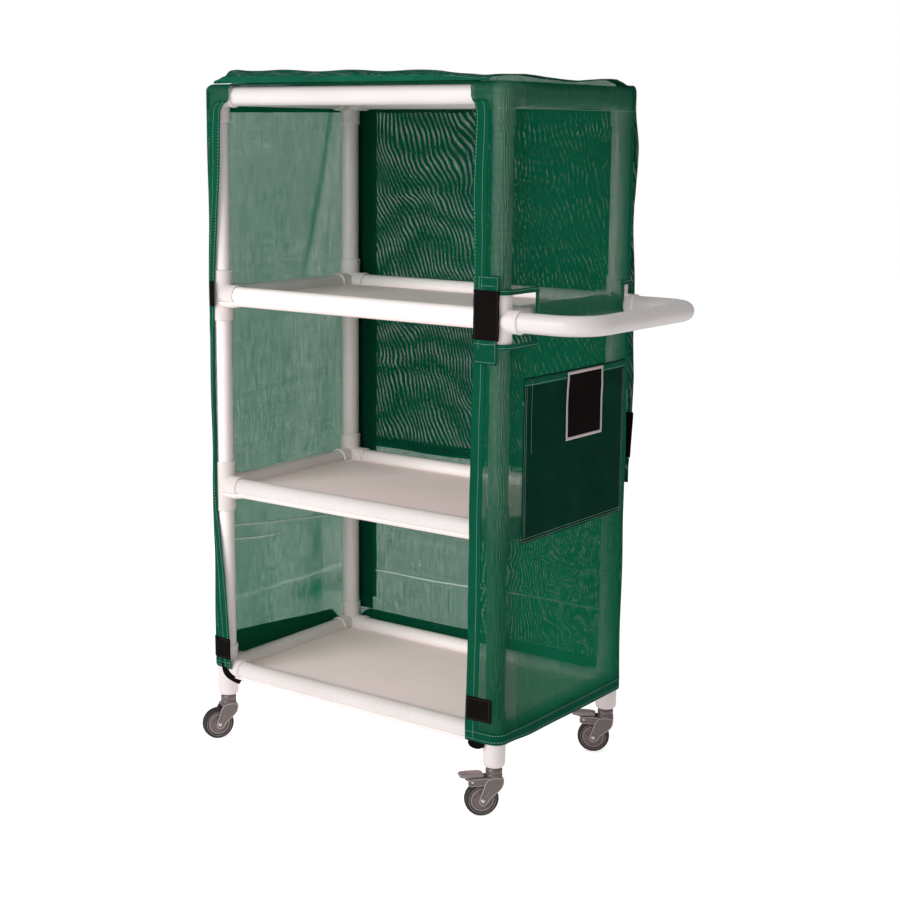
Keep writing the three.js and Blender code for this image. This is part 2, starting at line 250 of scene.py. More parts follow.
def lathe(profile, segments=48, matrix=Matrix.Identity(4)):
    """Body turned about Z from (radius, z) points: open from axis to axis, or closed off it."""
    verts, faces, rows = [], [], []
    for r, z in profile:
        if r < 1e-7:
            rows.append([len(verts)])
            verts.append(matrix @ Vector((0, 0, z)))
        else:
            rows.append(list(range(len(verts), len(verts) + segments)))
            for k in range(segments):
                a = 2 * math.pi * k / segments
                verts.append(matrix @ Vector((r * math.cos(a), r * math.sin(a), z)))
    closed = profile[0][0] > 1e-7
    for i in range(len(rows) if closed else len(rows) - 1):
        a, b = rows[i], rows[(i + 1) % len(rows)]
        for k in range(segments):
            n = (k + 1) % segments
            if len(a) == 1 and len(b) == 1:
                continue
            if len(a) == 1:
                faces.append((a[0], b[n], b[k]))
            elif len(b) == 1:
                faces.append((a[k], a[n], b[0]))
            else:
                faces.append((a[k], a[n], b[n], b[k]))
    return verts, faces


def axis_matrix(direction, place=(0, 0, 0)):
    """Takes +Z to the direction and the origin to the place."""
    turn = Vector(direction).normalized().to_track_quat("Z", "Y").to_matrix().to_4x4()
    return Matrix.Translation(Vector(place)) @ turn


def grid_shape(grid, keep=None):
    """Quads over grid[i][j]; keep(i, j) says which cells exist."""
    grid = np.asarray(grid, float)
    n, m = grid.shape[:2]
    faces = [(i * m + j, (i + 1) * m + j, (i + 1) * m + j + 1, i * m + j + 1)
             for i in range(n - 1) for j in range(m - 1) if keep is None or keep(i, j)]
    return grid.reshape(-1, 3), faces


def sheet(name, grid, keep=None):
    ob = mesh_object(name, grid_shape(grid, keep))
    bm = bmesh.new()
    bm.from_mesh(ob.data)
    bmesh.ops.delete(bm, geom=[v for v in bm.verts if not v.link_faces], context="VERTS")
    bm.to_mesh(ob.data)
    bm.free()
    return ob


def thicken(ob, thickness):
    solidify = ob.modifiers.new("thick", "SOLIDIFY")
    solidify.thickness = thickness
    solidify.offset = 0.0
    solidify.use_even_offset = False


def sheet_piece(name, grid, thickness, material, nodes=(), body=ROOT):
    ob = sheet(name, grid)
    thicken(ob, thickness)
    return finish_piece(ob, material, body, nodes)


def ease(start, end, value):
    """Smooth step from 0 at start to 1 at end; start may be the larger."""
    t = max(0.0, min(1.0, (value - start) / (end - start)))
    return t * t * (3 - 2 * t)


def bell(value, centre, width):
    q = (value - centre) / width
    return math.exp(-q * q)


def ripple_noise(x, y, z, seed, octaves=2):
    total, gain = 0.0, 1.0
    p = Vector((x + seed * 7.31, y - seed * 3.17, z + seed * 1.93))
    for _ in range(octaves):
        total += gain * noise.noise(p)
        p *= 2.03
        gain *= 0.5
    return total


# ------------------------------------------------------------------ shader graph helpers
class Signal:
    """An output socket; each arithmetic step on it makes one Math node."""

    def __init__(self, graph, socket):
        self.graph = graph
        self.socket = socket

    def __add__(self, other):
        return self.graph.math("ADD", self, other)

    def __radd__(self, other):
        return self.graph.math("ADD", other, self)

    def __sub__(self, other):
        return self.graph.math("SUBTRACT", self, other)

    def __rsub__(self, other):
        return self.graph.math("SUBTRACT", other, self)

    def __mul__(self, other):
        return self.graph.math("MULTIPLY", self, other)

    def __truediv__(self, other):
        return self.graph.math("DIVIDE", self, other)

    def __pow__(self, other):
        return self.graph.math("POWER", self, other)

    def __lt__(self, other):
        return self.graph.math("LESS_THAN", self, other)

    def __gt__(self, other):
        return self.graph.math("GREATER_THAN", self, other)

    def __abs__(self):
        return self.graph.math("ABSOLUTE", self)

    def clamped(self):
        """Clamp the Math node this signal comes from to 0..1."""
        self.socket.node.use_clamp = True
        return self


class Graph:
    def __init__(self, owner):
        owner.use_nodes = True
        self.tree = owner.node_tree
        self.tree.nodes.clear()

    def node(self, kind, inputs, **settings):
        made = self.tree.nodes.new(kind)
        for key, value in settings.items():
            setattr(made, key, value)
        for key, value in inputs.items():
            if isinstance(value, Signal):
                self.tree.links.new(value.socket, made.inputs[key])
            else:
                made.inputs[key].default_value = value
        return made

    def value(self, kind, inputs, output=0, **settings):
        return Signal(self, self.node(kind, inputs, **settings).outputs[output])

    def math(self, operation, first, second=None):
        inputs = {0: first} if second is None else {0: first, 1: second}
        return self.value("ShaderNodeMath", inputs, operation=operation)

    def coords(self):
        return self.value("ShaderNodeTexCoord", {}, "Object")

    def split(self, vector):
        outputs = self.node("ShaderNodeSeparateXYZ", {0: vector}).outputs
        return [Signal(self, socket) for socket in outputs]

    def shifted(self, vector, offset):
        return self.value("ShaderNodeVectorMath", {0: vector, 1: offset}, operation="ADD")

    def dot(self, first, second):
        return self.value("ShaderNodeVectorMath", {0: first, 1: second}, "Value",
                          operation="DOT_PRODUCT")

    def noise(self, vector, scale, detail=4.0, rough=0.55):
        return self.value("ShaderNodeTexNoise", {"Scale": scale, "Detail": detail,
                                                 "Roughness": rough, "Vector": vector}, "Fac")

    def ramp(self, factor, start, end, top=1.0):
        """Black up to start, rising to a grey of the top value at end."""
        made = self.node("ShaderNodeValToRGB", {0: factor})
        stops = made.color_ramp.elements
        for stop, position, level in ((stops[0], start, 0.0), (stops[1], end, top)):
            stop.position = position
            stop.color = (level, level, level, 1)
        return Signal(self, made.outputs[0])

    def mix(self, factor, first, second):
        return self.value("ShaderNodeMix", {0: factor, 6: first, 7: second}, 2,
                          data_type="RGBA")

    def mix_shader(self, factor, first, second):
        return self.value("ShaderNodeMixShader", {0: factor, 1: first, 2: second})

    def bump(self, height, strength, distance, normal=None):
        inputs = {"Strength": strength, "Distance": distance, "Height": height}
        if normal is not None:
            inputs["Normal"] = normal
        return self.value("ShaderNodeBump", inputs)

    def principled(self, **inputs):
        """Keyword names are the socket names in lower case with underscores."""
        named = {key.replace("_", " ").title().replace("Ior", "IOR"): value
                 for key, value in inputs.items()}
        return self.value("ShaderNodeBsdfPrincipled", named)


def new_material(name):
    material = bpy.data.materials.new(name)
    return material, Graph(material)


def surface(graph, shader):
    graph.node("ShaderNodeOutputMaterial", {0: shader})


def srgb(r, g, b):
    def linear(c):
        c /= 255.0
        return c / 12.92 if c <= 0.04045 else ((c + 0.055) / 1.055) ** 2.4
    return (linear(r), linear(g), linear(b), 1.0)


def tinted(color, r, g, b, lift=0.0):
    return (color[0] * r + lift, color[1] * g + lift, color[2] * b + lift, 1)


# ------------------------------------------------------------------ materials
def plastic(name, base, shade, rough, grain_scale, grain, spec=0.5, coat=0.0, mottling=0.5,
            scuffs=0.35):
    material, g = new_material(name)
    coords = g.coords()
    broad = g.noise(coords, scale=7.0, detail=3.0)
    fine = g.noise(coords, scale=120.0, detail=5.0)
    color = g.mix(g.ramp(broad, 0.35, 0.75) * mottling, base, shade)
    # faint rubbed grey marks, drawn out upright
    drawn = g.value("ShaderNodeMapping", {"Scale": (3.0, 3.0, 0.5), "Vector": coords})
    marks = g.ramp(g.noise(drawn, scale=60.0, detail=6.0, rough=0.7), 0.60, 0.74)
    color = g.mix(marks * (scuffs * 0.35), color, tinted(shade, 0.72, 0.7, 0.69))
    # painted shade in the corners: darker where ambient occlusion finds surfaces close by
    open_sky = g.value("ShaderNodeAmbientOcclusion", {"Distance": 0.012}, "AO", samples=4)
    painted_corner_shade = (1.0 - open_sky).clamped() ** 1.6
    color = g.mix(painted_corner_shade * 0.35, color, tinted(shade, 0.55, 0.52, 0.5))
    grain_bump = g.bump(g.noise(coords, grain_scale, detail=2.0), grain, distance=0.0004)
    surface(g, g.principled(
        base_color=color, roughness=rough + (fine - 0.5) * 0.18,
        specular_ior_level=spec, coat_weight=coat,
        normal=g.bump(broad, strength=0.06, distance=0.002, normal=grain_bump)))
    return material


PVC = plastic("pvc_pipe", srgb(236, 228, 226), srgb(225, 215, 212), rough=0.30,
              grain_scale=260.0, grain=0.05, coat=0.12)
PVC_FITTING = plastic("pvc_fitting", srgb(241, 232, 230), srgb(226, 214, 211), rough=0.36,
                      grain_scale=420.0, grain=0.10, coat=0.05)
TRAY = plastic("tray_sheet", srgb(252, 234, 231), srgb(246, 227, 224), rough=0.52,
               grain_scale=700.0, grain=0.35, spec=0.4, mottling=0.6, scuffs=0.6)


def weave(g, pitch, width, slub=0.0, seed=0.0, ratio=0.93, sway=0.0):
    """Two crossing thread systems over the object coordinates.

    Returns the coordinates, the thread height, and for each system the distance from the
    thread middle (0..1) with the thread's half width on the same scale.
    """
    coords = g.coords()
    true_normal = g.value("ShaderNodeNewGeometry", {}, "True Normal")
    x, y, z = g.split(coords)
    own_normal = g.value("ShaderNodeVectorTransform", {0: true_normal}, vector_type="NORMAL",
                         convert_from="WORLD", convert_to="OBJECT")
    normal_x, _, normal_z = g.split(own_normal)
    # u runs round the upright walls and along x on the top; v runs up, or along y on the top
    top = abs(normal_z) > 0.75
    side = abs(normal_x) > 0.7
    u_wall = x * (1.0 - side) + y * side
    u = x * top + u_wall * (1.0 - top)
    v = y * top + z * (1.0 - top)
    # slight hand of the cloth, so the rows aren't ruler straight
    place_u = g.shifted(coords, (0.4, 0.7, -0.3))
    place_v = g.shifted(coords, (4.0, -2.0, 7.0))
    u_thread = u + (g.noise(place_u, scale=9.0, detail=2.0) - 0.5) * 0.011
    v_thread = v + (g.noise(place_v, scale=7.0, detail=2.0) - 0.5) * 0.006
    if sway:
        # the piece lies a little off its grain
        u_thread += (g.noise(place_u, scale=2.6, detail=2.0) - 0.5) * sway
        u_thread -= v * 0.110
        v_thread += (g.noise(place_v, scale=4.5, detail=2.0) - 0.5) * (sway * 0.13)

    def distance(along, step):
        return abs(g.math("FRACT", along / step) - 0.5) * 2.0

    u_distance = distance(u_thread, pitch)
    v_distance = distance(v_thread, pitch * ratio)
    u_width, v_width = width, width
    if slub:
        # every yarn has thick and thin lengths
        def yarn(across, along, level):
            vector = g.value("ShaderNodeCombineXYZ", {0: across, 1: along, 2: level + seed})
            return g.noise(vector, scale=1.0, detail=3.0, rough=0.6)
        u_width = width + (yarn(u_thread * 165.0, v_thread * 16.0, 3.0) - 0.5) * slub
        v_width = width + (yarn(v_thread * 180.0, u_thread * 13.0, 11.0) - 0.5) * (slub * 1.15)
    # the upright yarns are the heavier ones
    u_width = g.math("ADD", u_width, 0.11)
    v_width = g.math("SUBTRACT", v_width, 0.16)
    height = g.math("MAXIMUM", (u_width - u_distance).clamped(),
                    (v_width - v_distance).clamped())
    return coords, height, ((u_distance, u_width), (v_distance, v_width))


def width_with_painted_shade(g, width):
    """Change the thread width from place to place: closer towards the bottom, with painted fold
    shade and light on the left side, and painted light and shade on the right side.
    """
    coords = g.coords()
    x, y_frame, z = g.split(coords)
    width += ((1.15 - z) * 0.065).clamped() * 1.0
    y = y_frame - OFF.y
    left = x < OFF.x - 0.396

    def hill(value, centre, spread):
        q = (value - centre) / spread
        return g.math("EXPONENT", q * q * -1.0)

    def beyond(value, start, end):
        return ((value - start) / (end - start)).clamped()

    # left side: painted fold shade and light, the threads closing up along the dark fold lines and
    # opening beside them
    slant = y - z * 0.28 + 0.218
    high, low = beyond(z, 1.05, 1.16), beyond(z, 0.50, 0.44)
    tilted = g.value("ShaderNodeMapping", {"Rotation": (math.radians(24), 0, 0),
                                           "Scale": (1.0, 1.0, 0.32), 0: coords})
    folds = (g.noise(tilted, scale=9.0, detail=3.0) - 0.5) * 0.16
    folds += hill(slant, 0.0, 0.012) * high * 0.10
    folds -= hill(slant, 0.040, 0.022) * high * 0.045
    folds += hill(y, 0.128, 0.040) * low * 0.055
    folds -= beyond(y, 0.144, 0.152) * low * 0.050
    folds -= hill(z, 0.326, 0.0050) * low * 0.070
    folds += hill(z, 0.286, 0.020) * beyond(y, -0.05, 0.10) * 0.070
    width += folds * left
    # right side: painted light where the threads open over the front right post and higher up, and
    # painted shade where they close up a little low down
    right = x > OFF.x + 0.380
    front = y_frame < OFF.y - 0.196
    width -= right * front * 0.060
    width -= right * beyond(z, 0.60, 0.70) * 0.070
    width += right * (z < 0.62) * 0.020
    return width


def net_material(name, base, dark, through, pitch, width, slub=0.42, seed=0.0, ratio=0.93,
                 translucent=0.45, sway=0.0):
    material, g = new_material(name)
    geometry = g.node("ShaderNodeNewGeometry", {})
    normal, incoming, backfacing = (Signal(g, geometry.outputs[key])
                                    for key in ("Normal", "Incoming", "Backfacing"))
    # threads close up when the cloth is seen edge on
    facing = abs(g.dot(normal, incoming))
    thread_width = width_with_painted_shade(g, width + (0.64 - facing) * 0.18)
    coords, height, threads = weave(g, pitch, thread_width, slub, seed, ratio, sway)
    solid = g.math("MAXIMUM", *(distance < half_width for distance, half_width in threads))
    broad = g.noise(coords, scale=5.0, detail=3.0)
    fine = g.noise(coords, scale=160.0, detail=3.0)
    color = g.mix(g.ramp(broad, 0.35, 0.7), base, dark)
    color = g.mix(fine * 0.35, color, tinted(base, 2.2, 1.7, 1.8))
    yarn = g.principled(
        base_color=color, roughness=0.85, sheen_weight=0.03, sheen_roughness=0.5,
        sheen_tint=(0.5, 0.9, 0.75, 1), specular_ior_level=0.06,
        normal=g.bump(height, strength=0.5, distance=0.0005))
    glow = g.value("ShaderNodeBsdfTranslucent",
                   {0: g.mix(broad * 0.5, through, tinted(through, 1, 0.75, 0.75))})
    cloth = g.mix_shader(translucent, yarn, glow)
    holes = g.value("ShaderNodeBsdfTransparent", {})
    # one layer of threads per sheet: the far face of the thin sheet lets light through
    surface(g, g.mix_shader(solid * (1.0 - backfacing), holes, cloth))
    return material


NET = net_material("net_mesh", srgb(8, 88, 64), srgb(5, 76, 55), srgb(12, 150, 106),
                   pitch=0.0024, width=0.640)
NET_FLAP = net_material("net_flap_mesh", srgb(8, 84, 61), srgb(5, 72, 53), srgb(12, 140, 100),
                        pitch=0.00300, width=0.590, slub=0.32, seed=5.3, ratio=0.7667,
                        sway=0.050)
NET_HEM = net_material("net_hem", srgb(8, 88, 64), srgb(5, 76, 55), srgb(10, 120, 86),
                       pitch=0.0024, width=0.85, slub=0.3, seed=2.1, translucent=0.25)


def cloth_material(name, base, dark, pitch, rough=0.7, rib=0.6, sheen=0.03, spec=0.08):
    material, g = new_material(name)
    coords, height, _ = weave(g, pitch, width=0.5)
    broad = g.noise(coords, scale=14.0, detail=4.0)
    color = g.mix(g.ramp(broad, 0.35, 0.7), base, dark)
    # painted highlight: the raised middles of the threads are lighter than their edges and the gaps
    color = g.mix(height * 0.5, color, tinted(base, 1.7, 1.6, 1.6, lift=0.004))
    ribs = g.bump(height, rib, distance=0.0005)
    surface(g, g.principled(
        base_color=color, roughness=rough + (broad - 0.5) * 0.2, sheen_weight=sheen,
        sheen_tint=(*(min(1, c * 4 + 0.2) for c in base[:3]), 1), specular_ior_level=spec,
        normal=g.bump(broad, strength=0.15, distance=0.002, normal=ribs)))
    return material


POCKET = cloth_material("pocket_cloth", srgb(5, 54, 40), srgb(3, 42, 31), pitch=0.0016,
                        rough=0.75, sheen=0.02, spec=0.02)
TAPE = cloth_material("binding_tape", srgb(8, 92, 68), srgb(6, 74, 54), pitch=0.0014)
STRAP = cloth_material("black_webbing", srgb(18, 14, 12), srgb(12, 9, 8), pitch=0.0018,
                       rough=0.8, rib=0.9, spec=0.04)
CARD = cloth_material("label_card_black", srgb(13, 10, 8), srgb(10, 8, 6), pitch=0.0009,
                      rib=0.15, sheen=0.0, spec=0.03)
TUCK = cloth_material("tuck_edge", srgb(214, 236, 224), srgb(190, 220, 206), pitch=0.0012,
                      rib=0.5, sheen=0.0, spec=0.05)
BORDER = cloth_material("label_border_grey", srgb(205, 190, 190), srgb(188, 174, 174),
                        pitch=0.0009, rough=0.6, rib=0.25, sheen=0.0, spec=0.2)
THREAD = cloth_material("stitch_thread", srgb(175, 205, 190), srgb(140, 180, 162),
                        pitch=0.0006, rough=0.6, rib=0.5, sheen=0.05)
THREAD_GREY = cloth_material("stitch_thread_grey", srgb(96, 86, 86), srgb(80, 70, 70),
                             pitch=0.0006, rough=0.6, rib=0.5, sheen=0.05)


def edge_wear(g, radius):
    """Near 1 on convex edges, from the bevel normal against the true one."""
    rounded = g.value("ShaderNodeBevel", {"Radius": radius}, samples=4)
    normal = g.value("ShaderNodeNewGeometry", {}, "Normal")
    return ((1.0 - g.dot(rounded, normal)).clamped() * 6.0).clamped()


def metal(name, base, worn, rough, metallic, grain=300.0, wear=0.5, bumpy=0.08):
    material, g = new_material(name)
    coords = g.coords()
    broad = g.noise(coords, scale=35.0, detail=4.0)
    fine = g.noise(coords, grain, detail=3.0)
    patches = g.ramp(g.noise(coords, scale=180.0, detail=5.0), 0.4, 0.6)
    rubbed = (edge_wear(g, radius=0.0012) * patches).clamped()
    color = g.mix(broad * 0.5, base, tinted(base, 0.7, 0.68, 0.67))
    surface(g, g.principled(
        base_color=g.mix(rubbed * wear, color, worn), metallic=metallic,
        roughness=rough + (fine - 0.5) * 0.25,
        normal=g.bump(fine, bumpy, distance=0.0003)))
    return material


FORK = metal("caster_grey_steel", srgb(122, 113, 110), srgb(205, 200, 196), rough=0.38,
             metallic=0.55)
# painted highlight: the rolled rims take a lighter copy of the fork steel for the light along their
# edges
FORK_RIM_HIGHLIGHT = metal("caster_rolled_rim", srgb(176, 167, 164), srgb(214, 208, 204), rough=0.36,
                 metallic=0.35)
BRIGHT = metal("bright_plate", srgb(225, 222, 220), srgb(240, 240, 238), rough=0.18,
               metallic=1.0, grain=500.0, wear=0.3, bumpy=0.04)
# spare finish, kept in the set though no piece carries it
metal("dark_gap_steel", srgb(52, 47, 46), srgb(120, 115, 112), rough=0.5, metallic=0.4)
PEDAL = metal("pedal_steel", srgb(150, 140, 138), srgb(215, 210, 206), rough=0.36,
              metallic=0.55)


def rubber(name, base, dust, rough, grain):
    material, g = new_material(name)
    coords = g.coords()
    broad = g.noise(coords, scale=40.0, detail=5.0, rough=0.65)
    fine = g.noise(coords, scale=900.0, detail=3.0)
    surface(g, g.principled(
        base_color=g.mix(g.ramp(broad, 0.45, 0.75, top=0.6), base, dust),
        roughness=rough + (broad - 0.5) * 0.3,
        normal=g.bump(fine, grain, distance=0.0004)))
    return material


HUB_RING = rubber("hub_ring_plastic", srgb(172, 162, 159), srgb(150, 140, 138), rough=0.45,
                  grain=0.12)
TYRE = rubber("tyre_rubber", srgb(34, 30, 30), srgb(66, 60, 59), rough=0.62, grain=0.25)
HUB = rubber("hub_grey_plastic", srgb(124, 112, 110), srgb(98, 88, 86), rough=0.45, grain=0.12)


# ------------------------------------------------------------------ posts, rails, handle
def pipe_piece(name, points, node):
    solid_piece(name, pipe(points), PVC, ROOT, [node], sharp=35, recalc=False)


for corner, (side_x, side_y) in CORNERS.items():
    lo, hi = local_box("post_" + corner)
    x, y = side_x * POST_X, side_y * POST_Y
    pipe_piece("pipe_post_" + corner, [(x, y, lo.z), (x, y, hi.z)], "post_" + corner)
for level, z in LEVELS.items():
    for side in ("front", "back", "left", "right"):
        node = f"rail_{side}_{level}"
        lo, hi = local_box(node)
        if side in ("front", "back"):
            y = (lo.y + hi.y) / 2
            ends = [(lo.x, y, z), (hi.x, y, z)]
        else:
            x = (lo.x + hi.x) / 2
            ends = [(x, lo.y, z), (x, hi.y, z)]
        pipe_piece("pipe_" + node, ends, node)

HANDLE_BEND = 0.076       # radius of the handle's two bends
handle_lo, handle_hi = local_box("push_handle")
GRIP_X = handle_hi.x - PIPE_R


def handle_bend(centre_y, start):
    """Quarter turn after its first point, in 16 steps."""
    points = []
    for i in range(1, 17):
        a = start + math.pi / 2 * i / 16
        points.append(Vector((GRIP_X - HANDLE_BEND + HANDLE_BEND * math.cos(a),
                              centre_y + HANDLE_BEND * math.sin(a), HANDLE_Z)))
    return points


BEND_Y = POST_Y - HANDLE_BEND
handle_path = [Vector((handle_lo.x, -POST_Y, HANDLE_Z)),
               Vector((GRIP_X - HANDLE_BEND, -POST_Y, HANDLE_Z))]
handle_path += handle_bend(-BEND_Y, -math.pi / 2)
handle_path += [Vector((GRIP_X, y, HANDLE_Z)) for y in np.linspace(-BEND_Y, BEND_Y, 6)[1:]]
handle_path += handle_bend(BEND_Y, 0.0)
handle_path.append(Vector((handle_lo.x, POST_Y, HANDLE_Z)))
pipe_piece("pipe_push_handle", handle_path, "push_handle")

# ------------------------------------------------------------------ moulded fittings
OVERLAP = 0.0015          # how far upright sleeves start behind the middle


def sleeve(direction, start, end, lip=0.0007):
    """Sleeve from start to end along the direction, with a rolled mouth at its end."""
    r = SLEEVE_R
    profile = [(0, start), (r, start), (r, end - 0.0065), (r + lip, end - 0.0052),
               (r + lip, end - 0.0012), (r + lip - 0.0012, end), (0, end)]
    return lathe(profile, 56, axis_matrix(direction))


def level_sleeves(start):
    return [sleeve((1, 0, 0), start, SLEEVE_REACH), sleeve((0, 1, 0), start, SLEEVE_REACH)]


def upright_sleeve(direction):
    return sleeve((0, 0, direction), -OVERLAP, SLEEVE_DROP)


def ball(r):
    profile = [(r * math.sin(t), -r * math.cos(t)) for t in np.linspace(0, math.pi, 21)]
    profile[0] = (0, -r)
    profile[-1] = (0, r)
    return lathe(profile, 48)


def moulded(shapes):
    """Fuse closed shapes into one skin and soften the seams."""
    ob = mesh_object("mould", join_shapes(shapes))
    fix_normals(ob)
    remesh = ob.modifiers.new("remesh", "REMESH")
    remesh.mode = "VOXEL"
    remesh.voxel_size = 0.00125
    soften = ob.modifiers.new("soften", "SMOOTH")
    soften.factor = 0.5
    soften.iterations = 5
    bpy.context.view_layer.update()
    mesh = ob.evaluated_get(bpy.context.evaluated_depsgraph_get()).data
    verts = np.array([v.co for v in mesh.vertices], float)
    faces = [tuple(p.vertices) for p in mesh.polygons]
    bpy.data.objects.remove(ob)
    return verts, faces


def leg_shape():
    """Closed foot of the lowest fitting, rounded at the ground end."""
    foot = LEG_Z - LEVELS["low"]
    # inset from the sleeve radius, height over the foot
    rounding = [(0.0075, 0), (0.0044, 0.0009), (0.0018, 0.0032), (0.0004, 0.0065), (0, 0.010)]
    profile = [(0, foot)] + [(SLEEVE_R - inset, foot + rise) for inset, rise in rounding]
    return lathe(profile + [(SLEEVE_R, 0.002), (0, 0.002)], 56)


def handle_sleeve():
    verts, faces = sleeve((-1, 0, 0), 0, SLEEVE_REACH)
    return [(p[0], p[1], p[2] + HANDLE_Z - LEVELS["up"]) for p in verts], faces


through_post = [upright_sleeve(-1), upright_sleeve(1)]
FITTINGS = {
    "top": moulded(level_sleeves(-OVERLAP) + [upright_sleeve(-1), ball(SLEEVE_R)]),
    "mid": moulded(level_sleeves(0) + through_post),
    "low": moulded(level_sleeves(0) + [leg_shape(), upright_sleeve(1)]),
    "handle": moulded(level_sleeves(0) + through_post + [handle_sleeve()]),
}
for corner, (side_x, side_y) in CORNERS.items():
    for level, z in LEVELS.items():
        kind = level
        if level == "up":
            kind = "handle" if side_x > 0 else "mid"
        verts, faces = FITTINGS[kind]
        verts = (verts * np.array([-side_x, -side_y, 1.0])
                 + np.array([side_x * POST_X, side_y * POST_Y, z]))
        if side_x * side_y < 0:
            faces = [f[::-1] for f in faces]
        node = f"{'elbow' if level == 'top' else 'tee'}_{corner}_{level}"
        solid_piece(f"fitting_{corner}_{level}", (verts, faces), PVC_FITTING, ROOT,
                    [node], recalc=False)

# ------------------------------------------------------------------ shelf trays
TRAY_STATIONS = ([0, 0.004, 0.02, 0.05, 0.08, 0.10] + list(np.linspace(0.14, 0.86, 10))
                 + [0.90, 0.92, 0.95, 0.98, 0.996, 1.0])
CRADLE_ARC = [math.radians(a) for a in np.linspace(-4, -148.5, 26)]
CRADLE_WALL = 0.0026
PIPE_PLAY, SLEEVE_PLAY = 0.0003, 0.0010


def cradle(axis, half, side, z):
    """Half-round cradle under one rail along the axis; it widens over the sleeves."""
    verts = []
    for t in TRAY_STATIONS:
        along = -half + 2 * half * t
        widen = min(1.0, max(0.0, (SLEEVE_REACH + 0.006 - (half - abs(along))) / 0.005))
        inner = (PIPE_R + PIPE_PLAY) + widen * (SLEEVE_R + SLEEVE_PLAY - PIPE_R - PIPE_PLAY)
        for r, arc in ((inner, CRADLE_ARC), (inner + CRADLE_WALL, CRADLE_ARC[::-1])):
            for a in arc:
                out, rise = r * math.cos(a), r * math.sin(a)
                # ends are cut to the round of the upright sleeve
                end = half - math.sqrt(max(0.0, (SLEEVE_R + 0.0006) ** 2 - out * out))
                s = max(-end, min(end, along))
                if axis == "x":
                    verts.append((s, side * POST_Y - side * out, z + rise))
                else:
                    verts.append((side * POST_X - side * out, s, z + rise))
    rows, size = len(TRAY_STATIONS), 2 * len(CRADLE_ARC)
    faces = band_faces(rows, size)
    for start, flip in ((0, False), ((rows - 1) * size, True)):
        for j in range(size // 2 - 1):
            quad = (start + j, start + j + 1, start + size - 2 - j, start + size - 1 - j)
            faces.append(quad if flip else quad[::-1])
    return verts, faces


def tray_plate(z, thickness=0.0030, notch=0.034, edge=0.0215):
    """Flat sheet with a round cut-out about each post; edge is its setback from the axes."""
    ring = []
    for x, y, start in ((POST_X, POST_Y, 180), (-POST_X, POST_Y, 270),
                        (-POST_X, -POST_Y, 0), (POST_X, -POST_Y, 90)):
        margin = math.asin(edge / notch)
        arc = np.linspace(math.radians(start) + margin, math.radians(start + 90) - margin, 9)
        ring += [(x + notch * math.cos(a), y + notch * math.sin(a)) for a in arc[::-1]]
    top = z - 0.0030
    verts = [(x, y, level) for level in (top - thickness, top) for x, y in ring]
    return verts, band_faces(2, len(ring)) + end_faces(2, len(ring))


for level in ("low", "mid", "up"):
    z = LEVELS[level]
    parts = [tray_plate(z)]
    parts += [cradle(axis, half, side, z) for axis, half in (("x", POST_X), ("y", POST_Y))
              for side in (-1, 1)]
    solid_piece("tray_" + level, join_shapes(parts), TRAY, ROOT,
                ["shelf_tray_" + level], sharp=32)


# ------------------------------------------------------------------ casters
def round_corners(points, steps):
    """Closed outline with its corners cut at the quarter points, several times over."""
    points = [Vector(p) for p in points]
    for _ in range(steps):
        cut = []
        for i, a in enumerate(points):
            b = points[(i + 1) % len(points)]
            cut += [a * 0.75 + b * 0.25, a * 0.25 + b * 0.75]
        points = cut
    return [(p.x, p.y) for p in points]


def slab(outline, y0, y1, bevel=0.0006):
    """Outline in X, Z pushed from y0 to y1 with softened edges, closed."""
    n = len(outline)
    area = sum(outline[i][0] * outline[(i + 1) % n][1] - outline[(i + 1) % n][0] * outline[i][1]
               for i in range(n))

    def inset(distance):
        ring = []
        for i in range(n):
            before, here, after = (Vector(outline[k % n]) for k in (i - 1, i, i + 1))
            tangent = (after - before).normalized()
            ring.append(here + Vector((-tangent.y, tangent.x)) * distance)
        return ring

    narrow = inset(bevel if area > 0 else -bevel)
    full = inset(0)
    verts = []
    for ring, y in ((narrow, y0), (full, y0 + bevel), (full, y1 - bevel), (narrow, y1)):
        verts += [(p.x, y, p.y) for p in ring]
    return verts, band_faces(4, n) + end_faces(4, n)


def rolled_edge(outline, y, centre, pull_x, pull_z, scale=1.0):
    """Bead round a plate's outline, pulled in a little towards the centre."""
    path = [Vector((x + (centre[0] - x) * pull_x, y, z + (centre[1] - z) * pull_z))
            for x, z in outline]
    return sweep(path, oval(scale * 0.00135, scale * 0.00125, 8), closed=True)


def mirrored(profile):
    return profile + [(r, -z) for r, z in reversed(profile)]


# caster space: swivel axis at x = 0, wheel axle at x = TRAIL, ground at z = 0
TRAIL = 0.027
CROWN_Z = WHEEL_R + 0.044
CHEEK_Y, CHEEK_T = 0.0142, 0.0026      # inner face and thickness of the fork cheeks
CHEEK_OUT = CHEEK_Y + CHEEK_T
FACE_Y = CHEEK_OUT + 0.0012            # outer face of the cheeks
WHEEL_HALF = 0.012                     # half the wheel's width
PIN_X, PIN_Z = 0.050, CROWN_Z - 0.001  # brake pin

